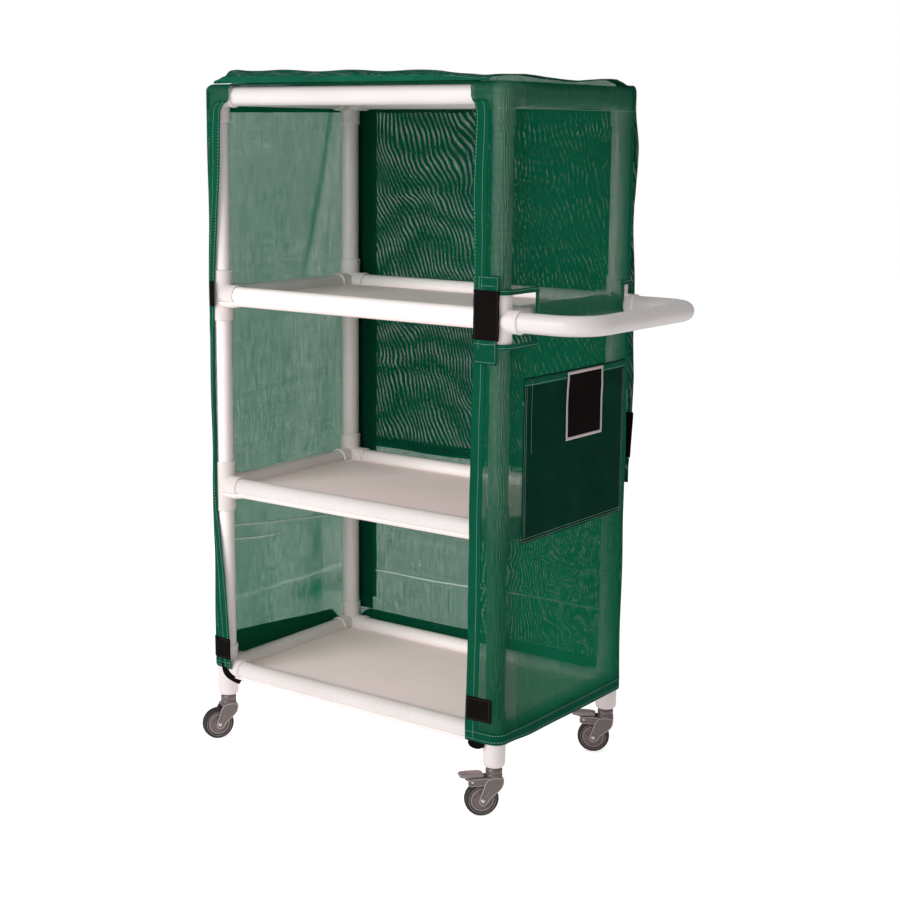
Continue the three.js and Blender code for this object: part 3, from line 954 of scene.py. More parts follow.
# outlines, (x, z)
CHEEK = round_corners([
    (-0.0185, CROWN_Z + 0.0055), (-0.0198, CROWN_Z - 0.005), (-0.0150, CROWN_Z - 0.020),
    (TRAIL - 0.0145, WHEEL_R + 0.004), (TRAIL - 0.0085, WHEEL_R - 0.0085),
    (TRAIL, WHEEL_R - 0.0115), (TRAIL + 0.0080, WHEEL_R - 0.0080),
    (TRAIL + 0.0088, WHEEL_R + 0.002), (TRAIL - 0.001, CROWN_Z - 0.018),
    (TRAIL - 0.004, CROWN_Z - 0.006), (TRAIL - 0.013, CROWN_Z + 0.0055)], 3)
CROWN = round_corners([
    (-0.0185, CROWN_Z + 0.0055), (-0.0192, CROWN_Z - 0.003), (-0.0120, CROWN_Z + 0.0002),
    (TRAIL - 0.012, CROWN_Z + 0.0002), (TRAIL - 0.007, CROWN_Z - 0.002),
    (TRAIL - 0.009, CROWN_Z + 0.0055)], 2)
BRAKE_ARM = round_corners([
    (0.002, CROWN_Z + 0.0060), (0.002, WHEEL_R + 0.0345), (0.050, WHEEL_R + 0.0325),
    (0.0600, WHEEL_R + 0.0360), (0.0605, CROWN_Z + 0.0010), (0.0570, CROWN_Z + 0.0060)], 3)
PEDAL_OUTLINE = round_corners([(PIN_X + x, PIN_Z + z) for x, z in (
    (-0.006, -0.0025), (-0.024, 0.005), (-0.028, 0.012), (-0.020, 0.0172), (0.023, 0.0174),
    (0.0285, 0.0140), (0.0270, 0.0088), (0.010, 0.0066), (0.006, -0.0025))], 3)
CHEEK_CENTRE = [sum(p[i] for p in CHEEK) / len(CHEEK) for i in (0, 1)]
# two pressed cups with the race line between them, and the stem: (radius, z)
HEAD_PROFILE = [(0, CROWN_Z + 0.0002)] + [(r, CROWN_Z + rise) for r, rise in (
    (0.0150, 0.0002), (0.0176, 0.0012), (0.0185, 0.0036), (0.0185, 0.0105), (0.0178, 0.0116),
    (0.0168, 0.0122), (0.0168, 0.0136), (0.0180, 0.0144), (0.0184, 0.0160))]
HEAD_PROFILE += [(r, LEG_Z + rise) for r, rise in (
    (0.0184, -0.0062), (0.0176, -0.0040), (0.0158, -0.0016), (0.0140, -0.0006),
    (0.0055, -0.0006), (0.0055, 0.024), (0.0045, 0.026), (0, 0.026))]
# domed rivet head and pin head: (radius, height over the cheek face)
RIVET = [(0, -0.0002), (0.0044, -0.0002), (0.0046, 0.0004), (0.0043, 0.0011),
         (0.0030, 0.0019), (0.0014, 0.0022), (0.0010, 0.0016), (0, 0.0015)]
PIN = [(0, -0.002), (0.0026, -0.002), (0.0026, -0.0006), (0.0019, 0.0001), (0, 0.0004)]
# wheel half profiles: (radius, depth below the tread's side face)
TREAD = [(0.0268, 0.0020), (0.0282, 0.0004), (0.0296, 0), (0.0302, 0.0009), (0.0308, 0),
         (0.0325, 0), (0.0350, 0.0011), (0.0366, 0.0036), (0.0373, 0.0070),
         (0.0374, 0.0092), (0.0370, 0.0098), (0.0370, 0.0104), (0.0375, 0.0110)]
HUB_PROFILE = [(0.0044, -0.0010), (0.0108, -0.0010), (0.0116, 0), (0.0122, 0.0030),
               (0.0150, 0.0034), (0.0225, 0.0030), (0.0236, 0.0016), (0.0246, 0.0010),
               (0.0262, 0.0010), (0.0270, 0.0020)]
HUB_RINGS = ((0.0236, 0.0010, 0.0010), (0.0296, 0.0003, 0.00055))   # radius, depth, bead


def heads(profile, segments, x, z):
    """The same turned head on both outer faces of the fork."""
    raised = [(r, FACE_Y + rise) for r, rise in profile]
    return [lathe(raised, segments, axis_matrix((0, s, 0), (x, 0, z))) for s in (-1, 1)]


def wheel_lathe(profile, segments):
    matrix = Matrix.Translation((TRAIL, 0, WHEEL_R)) @ Matrix.Rotation(math.radians(90), 4, "X")
    return lathe(mirrored([(r, depth - WHEEL_HALF) for r, depth in profile]), segments, matrix)


def fork_parts(braked):
    """The fork's plates and the rolled rims along their edges."""
    plates, rims = [], []
    for s in (-1, 1):
        plates.append(slab(CHEEK, *sorted((s * CHEEK_Y, s * FACE_Y))))
        rims.append(rolled_edge(CHEEK, s * (CHEEK_OUT + 0.0010), CHEEK_CENTRE,
                                pull_x=0.05, pull_z=0.03))
        # short pressed bead above the axle
        bead = [Vector((0.0120 + 0.0085 * t, s * FACE_Y, WHEEL_R + 0.0190 - 0.0120 * t))
                for t in np.linspace(0, 1, 8)]
        plates.append(sweep(bead, oval(0.0018, 0.0008, 12)))
        if braked:
            plates.append(slab(BRAKE_ARM, *sorted((s * CHEEK_Y, s * (CHEEK_OUT - 0.0003)))))
            rims.append(rolled_edge(BRAKE_ARM, s * (CHEEK_OUT - 0.0002),
                                    (0.031, CROWN_Z - 0.004), pull_x=0.03, pull_z=0.09,
                                    scale=0.8))
    plates.append(slab(CROWN, -CHEEK_OUT, CHEEK_OUT, 0.001))
    return plates, rims


def hub_parts():
    """Hub body with five shallow spokes in each face."""
    parts = [wheel_lathe(HUB_PROFILE, 64)]
    for s in (-1, 1):
        centre = Vector((TRAIL, s * (WHEEL_HALF - 0.0026), WHEEL_R))
        for i in range(5):
            a = 2 * math.pi * i / 5 + 0.3
            outward = Vector((math.cos(a), 0, math.sin(a)))
            spoke = [centre + outward * r for r in (0.0112, 0.0160, 0.0205, 0.0240)]
            parts.append(sweep(spoke, oval(0.0016, 0.0013, 10)))
    return parts


def hub_ring_parts():
    parts = []
    for s in (-1, 1):
        for radius, depth, bead in HUB_RINGS:
            path = [Vector((TRAIL + x, s * (WHEEL_HALF - depth), WHEEL_R + z))
                    for x, z in oval(radius, radius, 72)]
            parts.append(sweep(path, oval(bead, bead, 8), closed=True))
    return parts


def pedal_parts():
    parts = [slab(PEDAL_OUTLINE, -0.012, 0.012, 0.0014)]
    for i in range(5):                    # tread bars
        bar = [Vector((PIN_X + 0.004 + i * 0.0042, y, PIN_Z + 0.0175))
               for y in np.linspace(-0.0085, 0.0085, 5)]
        parts.append(sweep(bar, oval(0.0009, 0.0009, 8)))
    return parts


def build_caster(corner, side_x, side_y):
    spin, swivel = JOINTS["spin_" + corner], JOINTS["swivel_" + corner]
    heading = math.atan2(spin.y - swivel.y, spin.x - swivel.x)
    matrix = (Matrix.Translation((side_x * POST_X, side_y * POST_Y, 0))
              @ Matrix.Rotation(heading, 4, "Z"))
    caster, wheel = "caster_" + corner, "wheel_" + corner
    braked = "brake_" + corner in JOINTS

    def part(name, parts, material, body, nodes=(), sharp=40, recalc=True):
        verts, faces = join_shapes(parts)
        solid_piece(name + corner, ([matrix @ Vector(v) for v in verts], faces), material,
                    body, nodes, sharp, recalc)

    plates, rims = fork_parts(braked)
    part("caster_head_", [lathe(HEAD_PROFILE, 56)], FORK, caster, recalc=False)
    part("caster_fork_body_", plates, FORK, caster, ["caster_fork_" + corner],
         sharp=38)
    # rolled rims in the lighter steel that paints their highlight
    part("caster_rim_", rims, FORK_RIM_HIGHLIGHT, caster)
    rod = lathe([(0, -FACE_Y), (0.0040, -FACE_Y), (0.0040, FACE_Y), (0, FACE_Y)], 24,
                axis_matrix((0, 1, 0), (TRAIL, 0, WHEEL_R)))
    part("caster_axle_bolt_", heads(RIVET, 28, TRAIL, WHEEL_R) + [rod], BRIGHT, caster,
         ["caster_axle_" + corner])
    if braked:
        part("brake_pin_", heads(PIN, 20, PIN_X, PIN_Z), BRIGHT, caster)
    part("tyre_", [wheel_lathe(TREAD, 72)], TYRE, wheel, ["caster_wheel_" + corner],
         sharp=45)
    part("hub_ring_", hub_ring_parts(), HUB_RING, wheel)
    part("hub_", hub_parts(), HUB, wheel)
    if braked:
        part("pedal_", pedal_parts(), PEDAL, "brake_" + corner,
             ["brake_pedal_" + corner], sharp=38)


for corner, (side_x, side_y) in CORNERS.items():
    build_caster(corner, side_x, side_y)

# ------------------------------------------------------------------ shape of the hung cover
CORNER_R = 0.0279         # cloth stands this far from the post axes
TOP_R = 0.017             # rounding of the top edge
SHEET_TOP = COVER_TOP - 0.0010
WALL_TOP = SHEET_TOP - TOP_R
EDGE_TOP = 1.5045         # above this the return strips no longer follow their edge lines

# free edges of the two front returns, (height, x)
LEFT_EDGE = [
    (0.153, -0.351), (0.184, -0.352), (0.301, -0.361), (0.398, -0.367), (0.493, -0.378),
    (0.560, -0.389), (0.620, -0.3925), (0.682, -0.394), (0.824, -0.394), (0.952, -0.392),
    (1.080, -0.385), (1.171, -0.378), (1.306, -0.367), (1.439, -0.3615), (1.480, -0.358),
    (1.492, -0.352), (1.5005, -0.342), (EDGE_TOP, -0.331)]
RIGHT_EDGE = [
    (0.153, 0.331), (0.206, 0.332), (0.600, 0.335), (1.073, 0.340), (1.250, 0.3385),
    (1.394, 0.3375), (1.470, 0.340), (1.490, 0.338), (1.500, 0.334), (EDGE_TOP, 0.328)]
LEFT_END_X, RIGHT_END_X = -0.331, 0.326     # ends of the return strips at the top


def table_value(table, key):
    return float(np.interp(key, [row[0] for row in table], [row[1] for row in table]))


# The wall line in plan is one length u. It starts at 0 where the front left corner leaves the
# front, and runs by the left, back and right sides to FRONT_R. The front returns lie beyond
# both ends.
ARC = math.pi / 2 * CORNER_R
LEFT_0 = ARC
LEFT_1 = LEFT_0 + 2 * POST_Y
BACK_0 = LEFT_1 + ARC
BACK_1 = BACK_0 + 2 * POST_X
RIGHT_0 = BACK_1 + ARC
RIGHT_1 = RIGHT_0 + 2 * POST_Y
FRONT_R = RIGHT_1 + ARC
U_MARKS = [0.0, LEFT_0, LEFT_1, BACK_0, BACK_1, RIGHT_0, RIGHT_1, FRONT_R]
CORNER_ARCS = list(zip(U_MARKS[0::2], U_MARKS[1::2]))
U_START = -(POST_X + LEFT_END_X)
U_END = FRONT_R + (POST_X - RIGHT_END_X)


def wall(u):
    """Plan point and outward normal at wall length u."""
    r = CORNER_R
    if u < 0:
        return (-POST_X - u, -POST_Y - r), (0, -1)
    if u < LEFT_0:
        a, centre = -math.pi / 2 - u / r, (-POST_X, -POST_Y)
    elif u < LEFT_1:
        return (-POST_X - r, -POST_Y + (u - LEFT_0)), (-1, 0)
    elif u < BACK_0:
        a, centre = math.pi - (u - LEFT_1) / r, (-POST_X, POST_Y)
    elif u < BACK_1:
        return (-POST_X + (u - BACK_0), POST_Y + r), (0, 1)
    elif u < RIGHT_0:
        a, centre = math.pi / 2 - (u - BACK_1) / r, (POST_X, POST_Y)
    elif u < RIGHT_1:
        return (POST_X + r, POST_Y - (u - RIGHT_0)), (1, 0)
    elif u < FRONT_R:
        a, centre = -(u - RIGHT_1) / r, (POST_X, -POST_Y)
    else:
        return (POST_X - (u - FRONT_R), -POST_Y - r), (0, -1)
    return (centre[0] + r * math.cos(a), centre[1] + r * math.sin(a)), (math.cos(a), math.sin(a))


# level creases of each side: height, depth, half width, phase of their wander
LEFT_CREASES = ((1.295, 0.0034, 0.010, 0.2), (1.115, 0.0040, 0.012, 1.4),
                (0.995, 0.0026, 0.009, 2.6), (0.820, 0.0030, 0.011, 3.9),
                (0.560, 0.0018, 0.012, 0.7), (1.405, 0.0014, 0.010, 5.1))
RIGHT_CREASES = ((1.415, 0.0020, 0.010, 0.9), (1.210, 0.0016, 0.011, 2.4),
                 (0.485, 0.0022, 0.011, 0.3), (0.335, 0.0016, 0.010, 1.8),
                 (0.250, 0.0014, 0.008, 3.0))
BACK_CREASES = ((1.330, 0.0022, 0.012, 0.5), (1.180, 0.0026, 0.012, 1.9),
                (0.905, 0.0028, 0.013, 3.1), (0.760, 0.0020, 0.011, 4.4),
                (0.420, 0.0030, 0.012, 0.8), (0.340, 0.0022, 0.010, 2.2))
# long slanting folds on the left side, (height, y)
LONG_FOLD = [(0.95, 0.075), (1.110, 0.105), (1.126, 0.110), (1.218, 0.138), (1.313, 0.171),
             (1.473, 0.199), (1.51, 0.206)]
SECOND_FOLD = [(0.70, 0.205), (0.95, 0.165), (1.20, 0.188), (1.45, 0.222)]


def left_relief(y, z, t):
    """t runs 0..1 from front to back."""
    swell = math.sin(math.pi * t)
    drift = 2.2 * ripple_noise(0, z * 1.3, 2.0, seed=5.0)
    d = 0.0022 * swell * (0.5 + 0.5 * math.sin(13 * t + drift + 0.8))
    for height, depth, width, phase in LEFT_CREASES:
        height += 0.010 * math.sin(5.0 * t + phase) + 0.006 * (t - 0.5)
        fade = 0.45 + 0.55 * ease(0.0, 0.35, t) * ease(1.0, 0.7, t)
        d += depth * bell(z, height, width) * fade
        d -= 0.35 * depth * bell(z, height - 0.019, width * 1.3) * swell
    d += (0.0044 * bell(y, table_value(LONG_FOLD, z), 0.011)
          * ease(0.98, 1.12, z) * ease(1.52, 1.46, z))
    d += (0.0026 * bell(y, table_value(SECOND_FOLD, z), 0.010)
          * ease(0.66, 0.80, z) * ease(1.50, 1.40, z))
    for k in range(4):                    # four steep slanting folds side by side
        foot = -0.19 + 0.062 * k + 0.10 * ripple_noise(k * 1.7, 0.4, 0.2, seed=9.0, octaves=1)
        line = foot + 0.12 * (z - 0.9)
        d += 0.0013 * bell(y, line, 0.012) * (0.5 + 0.5 * math.sin(z * 9 + k * 2.1))
    return d


def right_relief(z, t):
    """t runs 0..1 from back to front; this side is stretched flatter."""
    swell = math.sin(math.pi * t)
    drift = 2.0 * ripple_noise(3.0, z * 1.1, 2.0, seed=6.0)
    d = 0.0012 * swell * (0.5 + 0.5 * math.sin(9 * t + drift))
    for height, depth, width, phase in RIGHT_CREASES:
        d += depth * bell(z, height + 0.008 * math.sin(4.2 * t + phase), width) * swell
    return d


def back_relief(z, t):
    """t runs 0..1 from left to right."""
    swell = math.sin(math.pi * t)
    drift = 2.6 * ripple_noise(7.0, z * 1.2, 2.0, seed=8.0)
    d = 0.0022 * swell * (0.5 + 0.5 * math.sin(17 * t + drift))
    for height, depth, width, phase in BACK_CREASES:
        height += 0.012 * math.sin(6.5 * t + phase) + 0.004 * math.sin(17 * t + phase)
        d += depth * bell(z, height, width) * swell
    return d


def front_relief(u, z):
    """Corners, and the returns, which wave gently along their free edges."""
    d = 0.0007 * math.sin(z * 23.0 + u * 40) * ease(0.0, 0.02, abs(z - 1.0))
    if u < 0 or u > FRONT_R:
        beyond = -u if u < 0 else u - FRONT_R
        wave = math.sin(z * 11.0 + (1.3 if u < 0 else 0.2)) + 0.4 * math.sin(z * 29 + 1.0)
        d += (0.0012 + 0.05 * beyond) * max(0.0, wave) * 0.7
    return d


def relief(u, z):
    """Outward displacement of the cloth: creases, sags and drape lines."""
    (x, y), _ = wall(u)
    # slow billow between the rails, kept small and outward
    d = 0.0016 * max(0.0, 0.35 + ripple_noise(x * 3.1 + y * 2.2, z * 2.4, 1.0, seed=3.0))
    if LEFT_0 < u < LEFT_1:
        d += left_relief(y, z, (u - LEFT_0) / (2 * POST_Y))
    elif RIGHT_0 < u < RIGHT_1:
        d += right_relief(z, (u - RIGHT_0) / (2 * POST_Y))
    elif BACK_0 < u < BACK_1:
        d += back_relief(z, (u - BACK_0) / (2 * POST_X))
    else:
        d += front_relief(u, z)
    # slight bulge where the cloth lies over each collar
    for collar in LEVELS.values():
        d += 0.0004 * math.exp(-((z - collar) / 0.045) ** 4)
    # hem pulls in a touch at the bottom
    return d - 0.0006 * ease(HEM_Z + 0.05, HEM_Z, z)


def return_x(u, v):
    """Slides the return strips so their free edges follow the edge tables."""
    if u < 0:
        return -POST_X + (-u) / -U_START * (table_value(LEFT_EDGE, v) + POST_X)
    return POST_X - (u - FRONT_R) / (U_END - FRONT_R) * (POST_X - table_value(RIGHT_EDGE, v))


def cover_point(u, v, off=0.0):
    """Point on the cover; v is the height, and past WALL_TOP the way on over the rounding."""
    (x, y), (nx, ny) = wall(u)
    if v > WALL_TOP:
        a = (v - WALL_TOP) / TOP_R
        d = relief(u, WALL_TOP) * max(0.0, 1 - a) + off
        out = d * math.cos(a) - TOP_R * (1 - math.cos(a))
        point = (x + nx * out, y + ny * out, WALL_TOP + (TOP_R + off) * math.sin(a))
    else:
        d = relief(u, v) + off
        d -= 0.0022 * (ease(LEFT_0, 0.0, u) + ease(RIGHT_1, FRONT_R, u))
        # the foot is drawn up at the front corners
        lift = 0.024 * (1 - ease(LEFT_0, LEFT_0 + 0.25, u)) * (1 - ease(HEM_Z, HEM_Z + 0.050, v))
        lift += 0.006 * ease(RIGHT_1 - 0.10, RIGHT_1, u) * (1 - ease(HEM_Z, HEM_Z + 0.045, v))
        point = (x + nx * d, y + ny * d, v + lift)
    if v <= EDGE_TOP and (u < 0 or u > FRONT_R):
        return (return_x(u, v), point[1], point[2])
    return point


def grid_lines(lo, hi, step, marks):
    """Evenly spaced values with every mark included exactly."""
    stops = sorted(set([lo, hi] + [m for m in marks if lo < m < hi]))
    lines = []
    for a, b in zip(stops[:-1], stops[1:]):
        n = max(1, int(round((b - a) / step)))
        lines += [a + (b - a) * i / n for i in range(n)]
    return lines + [stops[-1]]


def refine_corners(lines, step=0.0032):
    """Add lines inside the tight corner arcs."""
    fine = []
    for a, b in zip(lines[:-1], lines[1:]):
        fine.append(a)
        if any(lo < (a + b) / 2 < hi for lo, hi in CORNER_ARCS) and b - a > 0.003:
            n = max(1, int(math.ceil((b - a) / step)))
            fine += [a + (b - a) * i / n for i in range(1, n)]
    return fine + [lines[-1]]


def right_side_u(y):
    return RIGHT_0 + (POST_Y - y)


# openings where the handle passes out; the front one runs on to the free edge
FRONT_GAP_U = right_side_u(-0.146)
FRONT_GAP_Z = (1.017, 1.117)
REAR_GAP_U = (RIGHT_0 - ARC * 0.75, right_side_u(0.2125))
REAR_GAP_Z = (1.020, 1.108)
STEP = 0.0065 * COARSE

wall_us = refine_corners(grid_lines(U_START, U_END, STEP,
                                    U_MARKS + [FRONT_GAP_U, *REAR_GAP_U]))
wall_vs = grid_lines(HEM_Z, WALL_TOP, STEP, [*FRONT_GAP_Z, *REAR_GAP_Z])
wall_vs += [WALL_TOP + TOP_R * a for a in np.linspace(0, math.pi / 2, 9)[1:]]


def keep_wall_cell(i, j):
    u, v = (wall_us[i] + wall_us[i + 1]) / 2, (wall_vs[j] + wall_vs[j + 1]) / 2
    front = u > FRONT_GAP_U and FRONT_GAP_Z[0] < v < FRONT_GAP_Z[1]
    rear = REAR_GAP_U[0] < u < REAR_GAP_U[1] and REAR_GAP_Z[0] < v < REAR_GAP_Z[1]
    return not (front or rear)


def top_rim(u):
    """Where the rounding of the top edge meets the flat top."""
    (x, y), (nx, ny) = wall(u)
    return x - nx * TOP_R, y - ny * TOP_R


def top_z(x, y):
    """Cloth rests on the rails and hangs a little between them, with a few folds."""
    edge = min(POST_X + CORNER_R - abs(x), POST_Y + CORNER_R - abs(y))
    inner = ease(0.045, 0.16, edge)
    drift = 3 * ripple_noise(x * 2, y * 2, 0, seed=4.0)
    z = SHEET_TOP - 0.0052 * inner
    z += 0.0016 * inner * math.sin(x * 16 + drift) * math.sin(y * 11 + 0.6)
    return z - 0.0008 * abs(ripple_noise(x * 9, y * 9, 0.3, seed=2.0)) * ease(0.02, 0.05, edge)


def top_grid(front_xs):
    """Columns run from the rounded edge in to the middle line."""
    rim = [top_rim(u) for u in wall_us]
    rim += [(x, -POST_Y - CORNER_R + TOP_R) for x in front_xs[1:-1]]
    middle_x = (POST_X + CORNER_R - TOP_R) - (POST_Y + CORNER_R - TOP_R)
    steps = [0.0] + list(np.linspace(0.02, 1.0, max(10, int(0.245 / (STEP * 1.05)))))
    columns = []
    for rim_x, rim_y in rim:
        centre_x = max(-middle_x, min(middle_x, rim_x))
        column = []
        for t in steps:
            x, y = rim_x + (centre_x - rim_x) * t, rim_y + (0.0 - rim_y) * t
            blend = ease(0, 0.12, t)
            column.append((x, y, top_z(x, y) * blend + SHEET_TOP * (1 - blend)))
        columns.append(column)
    return columns + [columns[0]]


def merge_sheets(name, obs, distance=0.0004):
    bm = bmesh.new()
    for ob in obs:
        bm.from_mesh(ob.data)
        bpy.data.objects.remove(ob)
    bmesh.ops.remove_doubles(bm, verts=bm.verts, dist=distance)
    bmesh.ops.delete(bm, geom=[v for v in bm.verts if not v.link_faces], context="VERTS")
    bmesh.ops.recalc_face_normals(bm, faces=bm.faces)
    mesh = bpy.data.meshes.new(name)
    bm.to_mesh(mesh)
    bm.free()
    ob = bpy.data.objects.new(name, mesh)
    bpy.context.scene.collection.objects.link(ob)
    mesh.polygons.foreach_set("use_smooth", [True] * len(mesh.polygons))
    return ob


def front_rounding(x, a, off=0.0, lift=0.0):
    """Point on the rounding over the front rail, at angle a from the wall."""
    return (x, -POST_Y - CORNER_R + TOP_R * (1 - math.cos(a)) - off * math.cos(a),
            WALL_TOP + (TOP_R + off) * math.sin(a) + lift)


front_xs = list(np.linspace(RIGHT_END_X, LEFT_END_X, max(10, int(0.66 / STEP))))
wall_sheet = sheet("net_cover_walls", [[cover_point(u, v) for v in wall_vs] for u in wall_us],
                   keep_wall_cell)
top_sheet = sheet("net_cover_top", top_grid(front_xs))
# short lip between the returns, turned down over the front rail
lip_sheet = sheet("net_cover_lip", [
    [front_rounding(x, a, lift=0.0003) for a in np.linspace(math.pi / 2, math.radians(58), 5)]
    for x in front_xs])
cover = merge_sheets("net_cover_sheet", (wall_sheet, top_sheet, lip_sheet))
thicken(cover, 0.0006)
finish_piece(cover, NET, ROOT, ["net_cover"])

# ------------------------------------------------------------------ stitches
STITCHES = []             # pale stitches of the cover
GREY_STITCHES = []        # grey stitches of the black straps


def stitch(place, along, outward, length, half_width=0.0005, rise=0.00035):
    """One raised thread."""
    along = Vector(along).normalized()
    outward = Vector(outward).normalized()
    across = along.cross(outward).normalized()
    place = Vector(place)
    verts = [place + along * (-0.5 * length) - outward * 0.0002]
    for t, swell in ((-0.32, 1.0), (0.0, 1.15), (0.32, 1.0)):
        centre = place + along * (t * length)
        for a, b in ((-1, 0), (-0.6, 0.8), (0.6, 0.8), (1, 0), (0, -0.7)):
            verts.append(centre + across * (a * half_width) + outward * (b * rise * swell))
    verts.append(place + along * (0.5 * length) - outward * 0.0002)
    faces = []
    for k in range(5):
        n = (k + 1) % 5
        faces += [(0, 1 + n, 1 + k), (1 + k, 1 + n, 6 + n, 6 + k),
                  (6 + k, 6 + n, 11 + n, 11 + k), (11 + k, 11 + n, 16)]
    return verts, faces


def stitch_run(points, normals, pitch=0.0060, fill=0.62, bag=STITCHES):
    """Stitches along a polyline with outward normals."""
    points = [Vector(p) for p in points]
    normals = [Vector(n) for n in normals]
    lengths = [0.0]
    for a, b in zip(points[:-1], points[1:]):
        lengths.append(lengths[-1] + (b - a).length)
    count = int(lengths[-1] / pitch)
    i = 0
    for k in range(count):
        s = (k + 0.5) * lengths[-1] / count
        while i < len(points) - 2 and lengths[i + 1] < s:
            i += 1
        f = (s - lengths[i]) / max(1e-9, lengths[i + 1] - lengths[i])
        along = points[i + 1] - points[i]
        outward = normals[i].lerp(normals[i + 1], f)
        if along.length < 1e-9:
            continue
        stray = along.normalized().cross(outward) * (0.00025 * math.sin(k * 12.9898))
        bag.append(stitch(points[i].lerp(points[i + 1], f) + stray, along, outward,
                          pitch * fill))


def front_stitches(points, bag=STITCHES, pitch=0.0048):
    stitch_run(points, [(0, -1, 0)] * len(points), pitch, 0.6, bag)


def stitch_piece(name, bag, material, body=ROOT):
    if bag:
        ob = solid_piece(name, join_shapes(bag), material, body, recalc=False)
        if body in FLAP_SQUASH:
            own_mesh(ob)


def cover_strip(name, place, stations, across, off, thickness, material):
    """Strip on the cover: place(s, a) gives (u, v); off is its distance outside the sheet."""
    grid = [[cover_point(*place(s, a), off) for a in across] for s in stations]
    sheet_piece(name, grid, thickness, material)


def cover_stitches(place, stations, off=0.0016, pitch=0.0060):
    uvs = [place(s) for s in stations]
    stitch_run([cover_point(u, v, off) for u, v in uvs], [(*wall(u)[1], 0.0) for u, _ in uvs],
               pitch)


def heights(lo, hi, step=0.008):
    return list(np.linspace(lo, hi, max(2, int(abs(hi - lo) / (step * COARSE)) + 1)))


def along_wall(start, end, step=0.009):
    """Wall lengths from start to end, closer together round the corners."""
    marks = [start, *U_MARKS, end]
    values = []
    for lo, hi in zip(marks[:-1], marks[1:]):
        first, last = max(start, lo), min(end, hi)
        if last - first > 1e-6:
            spacing = 0.0040 if (lo, hi) in CORNER_ARCS else step * COARSE
            n = max(1, int((last - first) / spacing))
            values += list(np.linspace(first, last, n + 1)[:-1])
    return values + [end]


def left_return_u(x, v):
    return U_START * (x + POST_X) / (table_value(LEFT_EDGE, v) + POST_X)


def right_return_u(x, v):
    edge = table_value(RIGHT_EDGE, v)
    return FRONT_R + (POST_X - x) / (POST_X - edge) * (U_END - FRONT_R)


# ------------------------------------------------------------------ hems and second layers
RETURN_HEM = 0.030        # width of the hems on the returns' free edges


def right_hem(v, a):
    width = RETURN_HEM * a * (1.0 + 0.10 * ease(1.1, 1.45, v))
    return (right_return_u(table_value(RIGHT_EDGE, v) + width, v), v)


def left_hem(v, a):
    x = table_value(LEFT_EDGE, v) - RETURN_HEM * a
    # past the post axis it carries on round the corner arc
    return (-POST_X - x if x < -POST_X else left_return_u(x, v), v)


RIGHT_ACROSS = [0, 0.03, 0.2, 0.4, 0.6, 0.8, 0.97, 1.0]
LEFT_ACROSS = [0, 0.03, 0.15, 0.3, 0.45, 0.6, 0.75, 0.9, 1.0]
for name, place, stations, across in (
        ("hem_return_right_a", right_hem, heights(HEM_Z + 0.001, FRONT_GAP_Z[0]), RIGHT_ACROSS),
        ("hem_return_right_b", right_hem, heights(FRONT_GAP_Z[1], 1.504), RIGHT_ACROSS),
        ("hem_return_left", left_hem, heights(HEM_Z + 0.001, 1.504), LEFT_ACROSS)):
    cover_strip(name, place, stations, across, 0.0003, 0.0019, NET_HEM)
# hem, place across it, lowest and highest stitch, pitch
for hem, across, low, high, pitch in (
        (right_hem, 0.66, HEM_Z + 0.004, FRONT_GAP_Z[0], 0.0060),
        (right_hem, 0.66, FRONT_GAP_Z[1], 1.50, 0.0060),
        (right_hem, 0.10, FRONT_GAP_Z[1], 1.50, 0.0075),
        (left_hem, 0.62, HEM_Z + 0.004, 1.50, 0.0060),
        (left_hem, 0.12, HEM_Z + 0.004, 1.50, 0.0075)):
    cover_stitches(lambda v: hem(v, across), heights(low, high), pitch=pitch)


def foot_height(u):
    """Height of the foot hem, deeper on the left side and the back."""
    left = ease(LEFT_0 + 0.015, LEFT_0 + 0.05, u) * ease(LEFT_1 - 0.01, LEFT_1 - 0.05, u)
    back = ease(BACK_0, BACK_0 + 0.04, u) * ease(BACK_1, BACK_1 - 0.04, u)
    return 0.030 + (0.058 - 0.030 * ease(LEFT_0, LEFT_1, u)) * left + 0.024 * back


def foot_hem(u, a):
    return (u, HEM_Z + foot_height(u) * a)


foot_us = along_wall(U_START + 0.0002, U_END - 0.0002)
cover_strip("hem_foot", foot_hem, foot_us, [0, 0.03, 0.25, 0.5, 0.75, 0.97, 1.0],
            0.0002, 0.0017, NET_HEM)
cover_stitches(lambda u: foot_hem(u, 0.82), foot_us)
cover_stitches(lambda u: (u, HEM_Z + 0.006), foot_us, pitch=0.0070)


def head_hem(u, a):
    """Second layer under the top edge."""
    low = 1.4850 - 0.006 * ease(LEFT_1, LEFT_0, u)
    return (u, low + (WALL_TOP - low) * a)


cover_strip("hem_head", head_hem, along_wall(0.004, RIGHT_0 - 0.002),
            [0, 0.04, 0.3, 0.6, 0.9, 1.0], -0.0008, 0.0008, NET)
cover_stitches(lambda u: head_hem(u, 0.05), along_wall(0.004, FRONT_R - 0.004), 0.0007)

# doubled cloth at the back left corner
LAYER_U0 = LEFT_1 + 0.004
cover_strip("layer_back_left",
            lambda v, a: (LAYER_U0 + a * (BACK_0 + (POST_X - 0.325) - LAYER_U0), v),
            heights(HEM_Z + 0.09, WALL_TOP), list(np.linspace(0, 1, 16)), -0.0010, 0.0007, NET)
cover_strip("layer_back_corner", lambda v, a: (BACK_0 + a * (POST_X - 0.338), v),
            heights(HEM_Z + 0.055, WALL_TOP), list(np.linspace(0, 1, 9)),
            0.0010, 0.0012, NET_HEM)
cover_stitches(lambda v: (BACK_0 + POST_X - 0.340, v), heights(HEM_Z + 0.06, 1.5), 0.0020)


